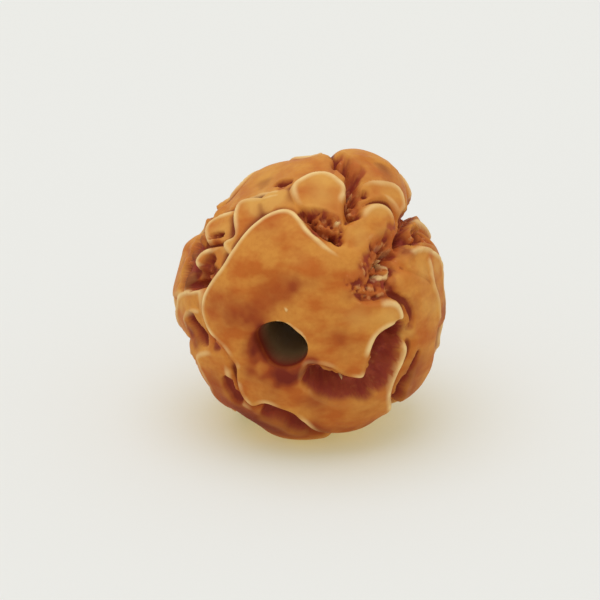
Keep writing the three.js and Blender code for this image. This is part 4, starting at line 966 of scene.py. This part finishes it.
def seed_wood():
    wood = Shading("seed wood")
    broad = wood.ramp(wood.noise(2.6, 3, (1, 1, 1.8)), 0.38, 0.62)
    fine = wood.noise(0.35, 6)
    colour = wood.mix(broad, WOOD["deep tan"], WOOD["light tan"])
    colour = wood.mix(wood.ramp(fine, 0.45, 0.7, 0, 0.2), colour, WOOD["grain"])
    for name, start, full, strength, tint in LAYERS:
        colour = wood.mix(wood.ramp(wood.attribute(name), start, full, 0, strength), colour, WOOD[tint])
    # Strands and chips of paler wood lie in the ragged places
    tufts = wood.attribute("tufts")
    strands = wood.noise(0.5, 4)
    colour = wood.mix(wood.product(tufts, wood.ramp(strands, 0.35, 0.6, 0.5, 1)), colour, WOOD["fibre"])
    colour = wood.mix(wood.product(tufts, wood.ramp(strands, 0.6, 0.7, 0, 0.8)), colour, WOOD["chip"])
    # The pale rims, wear with painted highlight, are paler in some places than in others
    worn = wood.ramp(wood.noise(1.6, 3), 0.36, 0.6, 0.55, 0.97)
    worn = wood.product(worn, wood.ramp(wood.attribute("rim"), 0.08, 0.8))
    colour = wood.mix(worn, colour, WOOD["rim"])
    hole = wood.attribute("hole")
    colour = wood.mix(wood.ramp(hole, 0, 0.25), colour, WOOD["hole mouth"])
    colour = wood.mix(wood.ramp(hole, 0.25, 1), colour, WOOD["hole"])
    wood.link(colour, wood.shader.inputs["Base Color"])
    wood.shader.inputs["Roughness"].default_value = 0.55
    wood.shader.inputs["Specular IOR Level"].default_value = 0.1
    grain = wood.bump(fine, 0.25, 0.1)
    grain = wood.bump(wood.noise(1.1, 4), 0.3, 0.25, grain)
    wood.link(grain, wood.shader.inputs["Normal"])
    return wood.material


def make_floor():
    bpy.ops.mesh.primitive_plane_add(size=FLOOR_SIDE)
    floor = bpy.context.object
    floor.name = "floor"
    paint = bpy.data.materials.new("pale floor")
    paint.use_nodes = True
    shader = paint.node_tree.nodes["Principled BSDF"]
    shader.inputs["Base Color"].default_value = FLOOR_COLOUR
    # The glow is painted light, lightening and warming the shadows on the floor
    shader.inputs["Emission Color"].default_value = FLOOR_GLOW
    shader.inputs["Emission Strength"].default_value = 1
    shader.inputs["Roughness"].default_value = 0.9
    shader.inputs["Specular IOR Level"].default_value = 0.1
    floor.data.materials.append(paint)
    return floor


# Light from all round, and one broad soft light from above and a little to the left of the view
def make_lights():
    world = bpy.data.worlds.new("studio")
    world.use_nodes = True
    sky = world.node_tree.nodes["Background"]
    sky.inputs["Color"].default_value = SKY_COLOUR
    sky.inputs["Strength"].default_value = SKY_STRENGTH
    bpy.context.scene.world = world
    sun = bpy.data.lights.new("soft light", "SUN")
    sun.energy = SUN_STRENGTH
    sun.color = SUN_COLOUR
    sun.angle = SUN_SPREAD
    lamp = bpy.data.objects.new("soft light", sun)
    source = Vector(in_view(*SUN_FROM))
    lamp.rotation_euler = source.to_track_quat("Z", "Y").to_euler()
    bpy.context.collection.objects.link(lamp)


def make_camera():
    camera = bpy.data.cameras.new("camera")
    camera.sensor_width = SENSOR_WIDTH
    camera.lens = SENSOR_WIDTH * CAMERA_DISTANCE / (PICTURE * PIXEL)
    camera.clip_start = 0.01
    holder = bpy.data.objects.new("camera", camera)
    bpy.context.collection.objects.link(holder)
    right = (PICTURE / 2 - MIDDLE_PIXEL[0]) * PIXEL
    down = (PICTURE / 2 - MIDDLE_PIXEL[1]) * PIXEL
    aim = CENTRE + ACROSS * right - UP * down
    holder.location = (aim + TOWARD * CAMERA_DISTANCE) * MM
    holder.rotation_euler = Matrix((ACROSS, UP, TOWARD)).transposed().to_euler()
    bpy.context.scene.camera = holder
    bpy.context.scene.view_settings.view_transform = "Standard"


seed = make_seed()
seed.data.materials.append(seed_wood())
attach(seed, "root")
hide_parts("seed")
make_floor()
make_lights()
make_camera()
